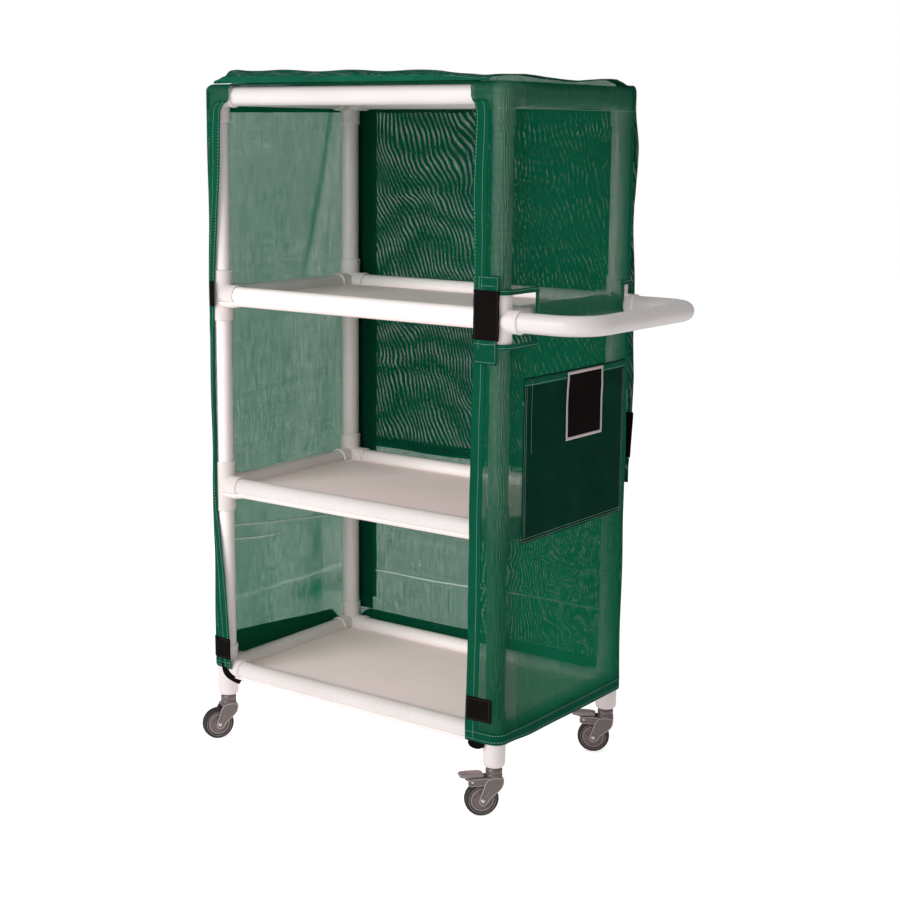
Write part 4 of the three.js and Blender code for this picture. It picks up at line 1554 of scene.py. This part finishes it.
def tuck(name, line, us, height=0.0036):
    cover_strip(name, lambda u, a: (u, line(u) + height * (a - 0.5)), us, [0, 0.3, 0.7, 1.0],
                -0.0012, 0.0012, TUCK)
    cover_stitches(lambda u: (u, line(u) + 0.0030), us, 0.0012)


# stitched tucks low on the left side and along the back
tuck("seam_left",
     lambda u: 0.507 - 0.040 * ease(LEFT_0, LEFT_1, u) + 0.0015 * math.sin(u * 21),
     along_wall(LEFT_0 - 0.02, LEFT_1 - 0.060))
tuck("seam_left_low",
     lambda u: 0.4740 - 0.020 * ease(LEFT_0, LEFT_0 + 0.28, u) + 0.0015 * math.sin(u * 25),
     along_wall(LEFT_0 - 0.02, LEFT_0 + 0.235))
tuck("seam_back", lambda u: 0.3160 + 0.026 * (u - BACK_0) + 0.002 * math.sin(u * 13),
     along_wall(BACK_0 + 0.06, BACK_1 - 0.004))

BINDING = 0.011           # width of the bindings round the handle openings


def binding(name, place, stations, off):
    """place(s, d): d is the distance from the opening's edge."""
    cover_strip(name, lambda s, a: place(s, BINDING * a), stations,
                [0, 0.08, 0.5, 0.92, 1.0], off, 0.0021, TAPE)
    cover_stitches(lambda s: place(s, BINDING * 0.72), stations, off + 0.0012)


def level_binding(name, u0, u1, v, sign):
    binding(name, lambda u, d: (u, v + sign * d), along_wall(u0, u1, 0.006), 0.0002)


def upright_binding(name, u, span, sign):
    binding(name, lambda v, d: (u + sign * d, v), heights(*span, 0.006), 0.0003)


level_binding("bind_front_high", FRONT_GAP_U - BINDING, U_END - 0.0005, FRONT_GAP_Z[1], 1)
level_binding("bind_front_low", FRONT_GAP_U - BINDING, U_END - 0.0005, FRONT_GAP_Z[0], -1)
upright_binding("bind_front_end", FRONT_GAP_U, FRONT_GAP_Z, -1)
for name, v, sign in (("high", REAR_GAP_Z[1], 1), ("low", REAR_GAP_Z[0], -1)):
    level_binding("bind_rear_" + name, REAR_GAP_U[0] - BINDING, REAR_GAP_U[1] + BINDING, v, sign)
upright_binding("bind_rear_a", REAR_GAP_U[0], REAR_GAP_Z, -1)
upright_binding("bind_rear_b", REAR_GAP_U[1], REAR_GAP_Z, 1)


def front_top_row(x, off=0.0011):
    row = [front_rounding(x, math.radians(a), off) for a in (60, 75, 90)]
    return row + [(x, -POST_Y - CORNER_R + TOP_R + d, SHEET_TOP + off) for d in (0.006, 0.013)]


# narrow hem along the front edge of the top
sheet_piece("hem_front_top", [front_top_row(x) for x in
                              np.linspace(0.330, -0.334, int(0.66 / (0.009 * COARSE)))],
            0.0012, TAPE)

# ------------------------------------------------------------------ straps and patches
FRONT_Y = -POST_Y - CORNER_R + 0.0022


def flat_bow(across, up):
    return 0.0


def strap_bow(across, up):
    return -0.0006 - 0.0012 * math.sin(math.pi * up) * math.sin(math.pi * across)


def front_panel(name, rect, y, thickness, material, nodes=(), bow=flat_bow, n=6):
    """Small rectangle (x0, x1, z0, z1) on the front, its face slightly uneven."""
    x0, x1, z0, z1 = rect
    grid = []
    for i in range(n * 2 + 1):
        up = i / (n * 2)
        row = []
        for j in range(n + 1):
            x, z = x0 + (x1 - x0) * j / n, z0 + (z1 - z0) * up
            bent = y + 0.0004 * ripple_noise(x * 60, z * 60, 0.2, seed=1.0) + bow(j / n, up)
            if j in (0, n):
                x += 0.0004 * math.sin(z * 170)
            row.append((x, bent, z))
        grid.append(row)
    sheet_piece(name, grid, thickness, material, nodes=nodes)


def rect_stitches(rect, y, inset, sides, bag=STITCHES, bow=flat_bow):
    x0, x1, z0, z1 = rect
    left, right, bottom, top = x0 + inset, x1 - inset, z0 + inset, z1 - inset
    rows = {"l": [(left, z) for z in np.linspace(bottom, top, 12)],
            "r": [(right, z) for z in np.linspace(bottom, top, 12)],
            "b": [(x, bottom) for x in np.linspace(left, right, 8)],
            "t": [(x, top) for x in np.linspace(left, right, 8)]}
    for side in sides:
        front_stitches([(x, y + bow((x - x0) / (x1 - x0), (z - z0) / (z1 - z0)), z)
                        for x, z in rows[side]], bag)


# across the front handle opening: black webbing between two stitched green tabs
WEB = (0.3400, 0.4030, 1.0240, 1.1260)
HIGH_TAB = (0.3490, 0.4020, 1.1190, 1.1560)
LOW_TAB = (0.3410, 0.3980, 0.9750, 1.0300)
front_panel("notch_strap_web", WEB, FRONT_Y - 0.0022, 0.0018, STRAP, ["notch_strap"],
            strap_bow, n=10)
rect_stitches(WEB, FRONT_Y - 0.0034, 0.0034, "lr", GREY_STITCHES, strap_bow)
front_panel("notch_tab_high", HIGH_TAB, FRONT_Y - 0.0024, 0.0012, NET_HEM)
rect_stitches(HIGH_TAB, FRONT_Y - 0.0032, 0.0040, "lrt")
rect_stitches((*HIGH_TAB[:3], 1.1440), FRONT_Y - 0.0032, 0.0090, "t")
front_panel("notch_tab_low", LOW_TAB, FRONT_Y - 0.0024, 0.0012, NET_HEM)
rect_stitches(LOW_TAB, FRONT_Y - 0.0032, 0.0040, "rb")
front_stitches([(0.3425 + 0.054 * t, FRONT_Y - 0.0033, 1.0160 + 0.0006 * math.sin(9 * t))
                for t in np.linspace(0, 1, 9)], pitch=0.0045)
front_stitches([(0.3530, FRONT_Y - 0.0033, z) for z in np.linspace(1.005, 1.028, 5)],
               pitch=0.0045)


def right_patch_point(x, z, off):
    u = right_return_u(x, z) if x < POST_X else FRONT_R - (x - POST_X)
    return cover_point(u, z, off)


sheet_piece("patch_right", [[right_patch_point(x, z, 0.0034)
                             for x in np.linspace(0.3360, 0.3960, 17)]
                            for z in np.linspace(0.2125, 0.2640, 13)], 0.0018, STRAP)
for z in (0.2160, 0.2605):
    front_stitches([right_patch_point(0.3380 + 0.054 * t, z, 0.0046)
                    for t in np.linspace(0, 1, 12)], GREY_STITCHES)
for x in (0.3380, 0.3920):
    front_stitches([right_patch_point(x, z, 0.0046) for z in np.linspace(0.2160, 0.2605, 9)],
                   GREY_STITCHES)


def left_patch_point(a, z):
    """a 0..0.6 lies on the return, and on to 1 round the corner."""
    u = left_return_u(-0.3530 - 0.0345 * a / 0.6, z) if a < 0.6 else (a - 0.6) / 0.4 * 0.018
    return cover_point(u, z + 0.0015 * a, 0.0024)


sheet_piece("patch_left", [[left_patch_point(j / 14, 0.2045 + 0.050 * i / 12)
                            for j in range(15)] for i in range(13)], 0.0018, STRAP)
for z in (0.2085, 0.2505):
    front_stitches([cover_point(left_return_u(-0.356 - 0.030 * t, z), z, 0.0035)
                    for t in np.linspace(0, 1, 8)], GREY_STITCHES)


def left_tab_row(z):
    us = [left_return_u(-0.3795 - 0.0200 * a, z) for a in np.linspace(0, 0.38, 3)]
    us += [0.012 * a for a in np.linspace(0.05, 1, 4)]
    return [cover_point(u, z, 0.0024) for u in us]


# small black tab on the left hem, level with the handle strap
sheet_piece("tab_left", [left_tab_row(z) for z in np.linspace(1.0425, 1.1000, 12)],
            0.0016, STRAP)


def tie_strap(name, points, width, tilt, steps=26):
    """Webbing along a smooth curve through (x, y from the front cloth line, z) points.

    tilt is the angle of its width from level at the first and last point, in degrees.
    """
    points = [Vector((x, -POST_Y - CORNER_R + y, z)) for x, y, z in points]
    grid = []
    for i in range(steps + 1):
        t = i / steps * (len(points) - 1)
        k = min(int(t), len(points) - 2)
        f = t - k
        p0, p1, p2 = points[max(0, k - 1)], points[k], points[k + 1]
        p3 = points[min(len(points) - 1, k + 2)]
        place = 0.5 * ((2 * p1) + (p2 - p0) * f + (2 * p0 - 5 * p1 + 4 * p2 - p3) * f * f
                       + (3 * p1 - p0 - 3 * p2 + p3) * f ** 3)
        a = math.radians(tilt[0] + (tilt[1] - tilt[0]) * (i / steps) ** 0.8)
        side = Vector((0.0, math.cos(a), math.sin(a))).normalized()
        grid.append([place + side * width * b for b in (-0.5, -0.25, 0, 0.25, 0.5)])
    sheet_piece(name, grid, 0.0016, STRAP)


# straps out of the foot hem, slung under the corner collars
tie_strap("tie_strap_left", [
    (-0.3810, 0.0010, 0.1960), (-0.3745, -0.0006, 0.1810), (-0.3640, 0.0002, 0.1700),
    (-0.3510, 0.0030, 0.1630), (-0.3400, 0.0070, 0.1580), (-0.3300, 0.0120, 0.1540)],
    width=0.0180, tilt=(92, 40))
tie_strap("tie_strap_right", [
    (0.3360, 0.0060, 0.1640), (0.3440, 0.0025, 0.1585), (0.3550, 0.0010, 0.1565),
    (0.3680, 0.0008, 0.1580), (0.3800, 0.0012, 0.1640)], width=0.0160, tilt=(60, 80))

# ------------------------------------------------------------------ pocket on the right side
pocket_lo, pocket_hi = local_box("cover_pocket")
POCKET_X = POST_X + CORNER_R + 0.0008
POCKET_W = pocket_hi.y - pocket_lo.y
POCKET_H = pocket_hi.z - pocket_lo.z


def pocket_x(y, z):
    """Outer face of the pouch: flat at its seams, slightly full in the middle."""
    ty, tz = (y - pocket_lo.y) / POCKET_W, (z - pocket_lo.z) / POCKET_H
    full = ease(0.0, 0.045, min(ty, 1 - ty, tz * POCKET_H / POCKET_W) * POCKET_W)
    d = 0.0013 + 0.0036 * full
    d += 0.0016 * full * ripple_noise(y * 7, z * 5, 1.0, seed=4.0)
    d += 0.0020 * ease(0.75, 1.0, tz) * math.sin(math.pi * ty)
    d += 0.0008 * bell(z, 0.905 + 0.02 * math.sin(ty * 5), 0.012)
    return POCKET_X + max(0.0012, d)


def pocket_column(y):
    """Up the face, then over the mouth, which is turned in."""
    x, top = pocket_x(y, pocket_hi.z), pocket_hi.z
    return [(pocket_x(y, z), y, z) for z in pocket_zs] + [
        (x + 0.0002, y, top + 0.0012), (x - 0.0008, y, top + 0.0016),
        (x - 0.0013, y, top - 0.001), (x - 0.0013, y, top - 0.024)]


def pocket_stitches(yzs, off=0.0010):
    stitch_run([(pocket_x(y, z) + off, y, z) for y, z in yzs], [(1, 0, 0)] * len(yzs))


pocket_ys = list(np.linspace(pocket_lo.y, pocket_hi.y, 56 // COARSE))
pocket_zs = list(np.linspace(pocket_lo.z, pocket_hi.z, 50 // COARSE))
sheet_piece("pocket_pouch", [pocket_column(y) for y in pocket_ys], 0.0008, POCKET,
            ["cover_pocket"])
hem_zs = np.linspace(pocket_hi.z - 0.0005, pocket_hi.z - 0.016, 4)
sheet_piece("pocket_mouth_hem", [[(pocket_x(y, z) + 0.0009, y, z) for z in hem_zs]
                                 for y in pocket_ys], 0.0009, TAPE)
pocket_stitches([(y, pocket_hi.z - 0.013) for y in pocket_ys], 0.0016)
for inset in (0.0035, 0.0095):
    pocket_stitches([(pocket_lo.y + inset, z) for z in pocket_zs])
    pocket_stitches([(pocket_hi.y - inset, z) for z in pocket_zs])
    pocket_stitches([(y, pocket_lo.z + inset) for y in pocket_ys])
# upright row of stitches inside the front edge
pocket_stitches([(pocket_lo.y + 0.026, z) for z in np.linspace(0.780, pocket_hi.z - 0.004, 26)],
                0.0012)

# label card in its pale border
card_lo, card_hi = local_box("label_card")
CARD_BORDER = 0.0062


def card_point(y, z, off=0.0):
    wave = 0.0006 * math.sin((y - card_lo.y) * 21) * math.sin((z - card_lo.z) * 17)
    return (max(pocket_x(y, z) + 0.0016, card_hi.x - 0.0020) + wave + off, y, z)


def card_grid(y0, y1, z0, z1, off, y_count, z_count):
    return [[card_point(y, z, off) for z in np.linspace(z0, z1, z_count)]
            for y in np.linspace(y0, y1, y_count)]


sheet_piece("label_card_face",
            card_grid(card_lo.y, card_hi.y, card_lo.z, card_hi.z, 0.0, 18, 18),
            0.0010, CARD, ["label_card"])
inner_z = (card_lo.z + CARD_BORDER, card_hi.z - CARD_BORDER)
border = [card_grid(card_lo.y, card_hi.y, z0, z1, 0.0009, 18, 3)
          for z0, z1 in ((card_lo.z, inner_z[0]), (inner_z[1], card_hi.z))]
border += [card_grid(y0, y1, *inner_z, 0.0009, 3, 18)
           for y0, y1 in ((card_lo.y, card_lo.y + CARD_BORDER),
                          (card_hi.y - CARD_BORDER, card_hi.y))]
border_ob = mesh_object("label_border", join_shapes([grid_shape(grid) for grid in border]))
thicken(border_ob, 0.0009)
finish_piece(border_ob, BORDER, ROOT, ())

# ------------------------------------------------------------------ flap over top and back
FOLD_Y = JOINTS["flap_fold"].y
BEND_START_Y = 0.2250     # where the top part ends and the bend begins
BEND_END_Z = 1.5020       # where the bend ends and the hanging part begins
ROLL_END_Y = -0.172       # back end of the roll over the front seam

# moving parts of the flap, each with its joint, an axis, an anchor point and a factor; only the
# part names are read
FLAP_SQUASH = {
    "flap_over_top": ("flap_swing", (0, 0, 1), (0, 0, FLAP_Z - 0.0042), 0.04),
    "flap_hanging": ("flap_fold", (0, 1, 0), (0, OFF.y + FOLD_Y - 0.0044, 0), 0.06),
}
# height of the front roll, (x, height)
ROLL_HEIGHT = [(-0.405, 0.006), (-0.385, 0.012), (-0.364, 0.017), (-0.352, 0.026),
               (-0.328, 0.0285), (-0.109, 0.0245), (0.05, 0.0225), (0.236, 0.0200),
               (0.299, 0.0135), (0.342, 0.0060), (0.360, 0.0030), (0.405, 0.0022)]
# loose folds along the two side edges of the top part, (y, height)
RIGHT_FOLDS = [(-0.262, 0.001), (-0.215, 0.0085), (-0.179, 0.0120), (-0.110, 0.0075),
               (-0.029, 0.0050), (0.030, 0.0035), (0.090, 0.0080), (0.150, 0.0118),
               (0.175, 0.0115), (0.205, 0.0045), (BEND_START_Y, 0.0)]
LEFT_FOLDS = [(-0.262, 0.004), (-0.20, 0.010), (-0.12, 0.004), (-0.04, 0.009), (0.05, 0.003),
              (0.13, 0.008), (0.19, 0.004), (BEND_START_Y, 0.0)]


def flap_piece(body, name, grid, thickness, material, nodes=()):
    """Piece of a moving part, or with no body, of the bend between the two."""
    ob = sheet_piece(name, grid, thickness, material, nodes, body)
    if body:
        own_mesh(ob)
    else:
        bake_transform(ob)


def flap_edge_hems(body, prefix, point, stations):
    for name, side in (("left", -1), ("right", 1)):
        outer, inner = side * (FLAP_X + 0.0004), side * (FLAP_X - 0.024)
        grid = [[point(outer + (inner - outer) * a, s, 0.0004) for s in stations]
                for a in (0, 0.04, 0.35, 0.65, 0.96, 1)]
        flap_piece(body, prefix + name, grid, 0.0018, NET_HEM)


def top_ripple(x, y):
    """Height of the loose folds of the flap on the top; nothing at the bend."""
    right = ease(0.20, 0.395, x)
    left = ease(-0.22, -0.395, x)
    drift = 5 * ripple_noise(x * 2.3, y * 1.4, 0.0, seed=11.0)
    folds = 0.0032 * (0.5 + 0.5 * math.sin(26 * y + drift))
    folds += 0.0022 * max(0, ripple_noise(x * 6, y * 7, 0.5, seed=12.0))
    folds *= ease(BEND_START_Y, BEND_START_Y - 0.04, y) * (0.55 + 0.45 * math.sin(9 * x + 1.0))
    height = right * table_value(RIGHT_FOLDS, y) + left * table_value(LEFT_FOLDS, y)
    height += (1 - max(right, left)) * max(0.0, folds)
    return height * ease(BEND_START_Y, BEND_START_Y - 0.018, y)


def flap_top_point(x, s, off=0.0):
    """s 0..1 runs from the front seam over the roll; s - 1 is the way on behind it."""
    if s <= 1.0:
        roll = table_value(ROLL_HEIGHT, x)
        seam_z = 1.5411
        end_z = FLAP_Z + 0.0002 + top_ripple(x, ROLL_END_Y)
        controls = [(-0.2585, seam_z), (-0.2725, seam_z + 1.28 * roll),
                    (-0.2230, max(end_z + 0.3 * roll, seam_z + 1.42 * roll)),
                    (ROLL_END_Y, end_z)]
        shares = ((1 - s) ** 3, 3 * s * (1 - s) ** 2, 3 * s * s * (1 - s), s ** 3)
        y = sum(a * p[0] for a, p in zip(shares, controls))
        z = sum(a * p[1] for a, p in zip(shares, controls))
        z += 0.0016 * math.sin(x * 34 + 3 * s) * math.sin(math.pi * s)
    else:
        y = ROLL_END_Y + (s - 1.0)
        z = FLAP_Z + 0.0002 + top_ripple(x, y)
    # the corners of the seam end are gathered in, and the edges wander a little
    gather = ease(-0.14, -0.258, y)
    if x < -0.30:
        x += 0.030 * gather * ease(-0.30, -0.405, x)
    elif x > 0.30:
        x -= 0.034 * gather * ease(0.30, 0.405, x)
    return (x + 0.0015 * math.sin(y * 40) * ease(0.36, 0.40, abs(x)), y, z + off)


flap_xs = list(np.linspace(-FLAP_X, FLAP_X, int(2 * FLAP_X / (0.0068 * COARSE)) + 1))
top_stations = list(np.linspace(0, 1, 22))
top_stations += [1 + d for d in np.linspace(0, BEND_START_Y - ROLL_END_Y,
                                            int(0.397 / (0.0068 * COARSE)) + 1)[1:]]
flap_piece("flap_over_top", "flap_top_sheet",
           [[flap_top_point(x, s) for s in top_stations] for x in flap_xs],
           0.0006, NET_FLAP, ["flap_top"])
flap_edge_hems("flap_over_top", "flap_top_hem_", flap_top_point, top_stations)
flap_piece("flap_over_top", "flap_front_seam",
           [[flap_top_point(x, s, 0.0002) for s in (0, 0.03, 0.08, 0.13, 0.17)]
            for x in flap_xs], 0.0016, TAPE)


def bend_point(x, t, off=0.0):
    """t 0..1 from the end of the top part round the back edge to the hanging part."""
    r = 0.0150
    back_y, top = FOLD_Y + 0.0010, FLAP_Z + 0.0002
    level, turn, drop = (back_y - r) - BEND_START_Y, math.pi / 2 * r, (top - r) - BEND_END_Z
    along = t * (level + turn + drop)
    if along < level:
        return (x, BEND_START_Y + along, top + off)
    if along < level + turn:
        a = (along - level) / r
        return (x, back_y - r + (r + off) * math.sin(a), top - r + (r + off) * math.cos(a))
    return (x, back_y + off, top - r - (along - level - turn))


bend_stations = list(np.linspace(0, 1, 26))
flap_piece(None, "flap_bend_sheet", [[bend_point(x, t) for t in bend_stations]
                                     for x in flap_xs], 0.0006, NET_FLAP)
flap_edge_hems(None, "flap_bend_hem_", bend_point, bend_stations)

# level creases of the hanging part: height, depth, half width
HANG_CREASES = ((1.30, 0.0016, 0.010), (1.06, 0.0020, 0.012), (0.86, 0.0016, 0.010))


def hang_point(x, z, off=0.0):
    """Hanging part, with long soft folds that open towards the foot."""
    start = ease(BEND_END_Z, BEND_END_Z - 0.10, z)
    low = ease(BEND_END_Z - 0.05, FLAP_FOOT_Z, z)
    cover_out = relief(BACK_0 + (x + POST_X), z) if abs(x) < POST_X else 0.002
    out = 0.0028 * (0.5 + 0.5 * math.sin(15 * x + 1.5 * math.sin(3.1 * z) + 0.4))
    out += 0.0050 * low * (0.5 + 0.5 * math.sin(23 * x + 2.2 * math.sin(2.2 * z + 1)))
    out += 0.0020 * max(0.0, ripple_noise(x * 4, z * 3, 1.0, seed=15.0))
    for height, depth, width in HANG_CREASES:
        out += depth * bell(z, height + 0.012 * math.sin(6 * x + height * 5), width)
    out += max(cover_out + 0.0010, 0.0)
    edge = ease(0.345, 0.405, abs(x))
    edge_wave = 0.0060 * math.sin(z * 9.0 + (0.4 if x > 0 else 2.0))
    edge_out = edge * (0.0085 + edge_wave + 0.0035 * math.sin(z * 23 + 1.0))
    out = min(out * (1 - 0.3 * edge) + max(0.0, edge_out), 0.0205)
    side = 1 if x > 0 else -1
    flare = 0.004 * edge * side * start * max(0.0, math.sin(z * 7.0 + 0.8))
    return (x + flare, FOLD_Y + 0.0010 + start * out + off, z)


hang_zs = list(np.linspace(BEND_END_Z, FLAP_FOOT_Z,
                           int((BEND_END_Z - FLAP_FOOT_Z) / (0.0072 * COARSE)) + 1))
flap_piece("flap_hanging", "flap_hanging_sheet",
           [[hang_point(x, z) for z in hang_zs] for x in flap_xs],
           0.0006, NET_FLAP, ["flap_back"])
flap_edge_hems("flap_hanging", "flap_hanging_hem_", hang_point, hang_zs)
flap_piece("flap_hanging", "flap_foot_hem",
           [[hang_point(x, FLAP_FOOT_Z + rise, 0.0006)
             for rise in (-0.0004, 0.001, 0.009, 0.018, 0.027)] for x in flap_xs],
           0.0018, NET_HEM)


def edge_patch_row(side, z):
    """Round the flap's edge, from its inner face to its outer one."""
    edge = hang_point(side * FLAP_X, z)
    row = [hang_point(side * (FLAP_X - 0.038 * a), z, -0.0020) for a in (1, 0.7, 0.4, 0.1)]
    row += [(edge[0] + side * dx, edge[1] + dy, z)
            for dx, dy in ((0.0030, -0.0010), (0.0034, 0.0004), (0.0030, 0.0018))]
    return row + [hang_point(side * (FLAP_X - 0.038 * a), z, 0.0028)
                  for a in (0.1, 0.4, 0.7, 1)]


# black patches folded round the flap's side edges, each with a tab below
patch_zs = list(np.linspace(0.7050, 0.8090, 14))
for name, side in (("left", -1), ("right", 1)):
    flap_piece("flap_hanging", "flap_patch_" + name,
               [edge_patch_row(side, z) for z in patch_zs], 0.0012, STRAP)
    flap_piece("flap_hanging", "flap_tab_" + name,
               [[hang_point(side * (FLAP_X - 0.020 * a), z, 0.0030) for a in (1, 0.5, 0.0)]
                for z in (0.6900, 0.6960, 0.7020)], 0.0012, STRAP)
    bag = []
    for inset in (0.012, 0.033):
        stitch_run([hang_point(side * (FLAP_X - inset), z, 0.0036) for z in patch_zs],
                   [(0, 1, 0)] * len(patch_zs), 0.0048, 0.6, bag)
    stitch_piece("flap_patch_stitch_" + name, bag, THREAD_GREY, "flap_hanging")

STITCH_INSET = 0.019      # from the flap's side edges
bag = []
for side in (-1, 1):
    stitch_run([flap_top_point(side * (FLAP_X - STITCH_INSET), s, 0.0015)
                for s in top_stations], [(0, 0, 1)] * len(top_stations), bag=bag)
stitch_run([flap_top_point(x, 0.145, 0.0013) for x in flap_xs],
           [(0, -0.3, 1)] * len(flap_xs), bag=bag)
stitch_piece("flap_top_stitches", bag, THREAD, "flap_over_top")
bag = []
for side in (-1, 1):
    stitch_run([hang_point(side * (FLAP_X - STITCH_INSET), z, 0.0015) for z in hang_zs],
               [(0, 1, 0)] * len(hang_zs), bag=bag)
stitch_run([hang_point(x, FLAP_FOOT_Z + 0.023, 0.0017) for x in flap_xs],
           [(0, 1, 0)] * len(flap_xs), bag=bag)
stitch_piece("flap_hanging_stitches", bag, THREAD, "flap_hanging")
stitch_piece("cover_stitches", STITCHES, THREAD)
stitch_piece("strap_stitches", GREY_STITCHES, THREAD_GREY)


# ------------------------------------------------------------------ floor, lights, world
def build_floor(half=14, z=-0.0005):
    """White floor that glows a little more to the camera than to the scene."""
    material, g = new_material("studio_floor")
    camera_ray = g.value("ShaderNodeLightPath", {}, "Is Camera Ray")
    surface(g, g.principled(
        base_color=(0.96, 0.96, 0.96, 1), roughness=0.85, specular_ior_level=0.1,
        emission_color=(1, 1, 1, 1), emission_strength=0.28 + camera_ray * 0.42))
    corners = [(-half, -half, z), (half, -half, z), (half, half, z), (-half, half, z)]
    floor = mesh_object("studio_floor", (corners, [(0, 1, 2, 3)]), smooth=False)
    floor.data.materials.append(material)


def area_light(name, place, size, power, target_z=0.80):
    light = bpy.data.lights.new(name, "AREA")
    light.shape = "RECTANGLE"
    light.size, light.size_y = size
    light.energy = power
    ob = bpy.data.objects.new(name, light)
    bpy.context.scene.collection.objects.link(ob)
    ob.location = Vector(place) + OFF
    aim = Vector((0, 0, target_z)) - Vector(place)
    ob.rotation_euler = aim.to_track_quat("-Z", "Y").to_euler()
    return ob


build_floor()
area_light("key_soft", place=(-0.7, -4.2, 2.9), size=(3.8, 3.0), power=118)
area_light("front_low", place=(-1.1, -5.0, 1.15), size=(3.2, 1.8), power=22, target_z=0.85)
inner_light = area_light("inner_soft", place=(-1.0, -3.6, 1.75), size=(2.6, 2.2), power=76)
# only the shelves and the shaded side of the frame take the inner light
DEEP_PREFIXES = ("tray_", "pipe_post_bl", "pipe_post_br", "pipe_rail_back", "pipe_rail_left",
                 "pipe_rail_right", "fitting_bl", "fitting_br", "pipe_post_fl",
                 "pipe_rail_front_up")
deep = bpy.data.collections.new("deep_pieces")
for ob in list(bpy.data.objects):
    if ob.type == "MESH" and ob.name.startswith(DEEP_PREFIXES):
        deep.objects.link(ob)
inner_light.light_linking.receiver_collection = deep
area_light("fill_right", place=(4.4, -1.6, 2.4), size=(3.0, 3.0), power=5)
area_light("top_soft", place=(0, 0.2, 5.0), size=(4.0, 4.0), power=22)

# the world is pure white to the camera and dimmer as a light
world = bpy.data.worlds.new("studio_world")
bpy.context.scene.world = world
g = Graph(world)
dim, white = (g.value("ShaderNodeBackground", {0: (1, 1, 1, 1), 1: strength})
              for strength in (0.34, 1.0))
camera_ray = g.value("ShaderNodeLightPath", {}, "Is Camera Ray")
g.node("ShaderNodeOutputWorld", {0: g.mix_shader(camera_ray, dim, white)})
bpy.context.scene.view_settings.view_transform = "Standard"


# ------------------------------------------------------------------ camera
def build_camera(place, azimuth, pitch, roll):
    """Looks along +Y turned left by the azimuth and down by the pitch, in degrees."""
    camera = bpy.data.cameras.new("camera")
    camera.lens = 66.35
    camera.sensor_width = 36.0
    camera.shift_y = -0.0053
    camera.clip_start = 0.05
    camera.clip_end = 60
    ob = bpy.data.objects.new("camera", camera)
    bpy.context.scene.collection.objects.link(ob)
    azimuth, pitch, roll = (math.radians(a) for a in (azimuth, pitch, roll))
    forward = Vector((-math.sin(azimuth) * math.cos(pitch),
                      math.cos(azimuth) * math.cos(pitch), -math.sin(pitch)))
    level = Vector((math.cos(azimuth), math.sin(azimuth), 0))
    upright = level.cross(forward)
    right = level * math.cos(roll) + upright * math.sin(roll)
    up = -level * math.sin(roll) + upright * math.cos(roll)
    matrix = Matrix.Identity(4)
    for i in range(3):
        matrix[i][0], matrix[i][1], matrix[i][2] = right[i], up[i], -forward[i]
    matrix.translation = Vector(place) + OFF
    ob.matrix_world = matrix
    bpy.context.scene.camera = ob


build_camera(place=(2.2755, -3.0138, 1.4347), azimuth=35.88, pitch=10.62, roll=0.52)
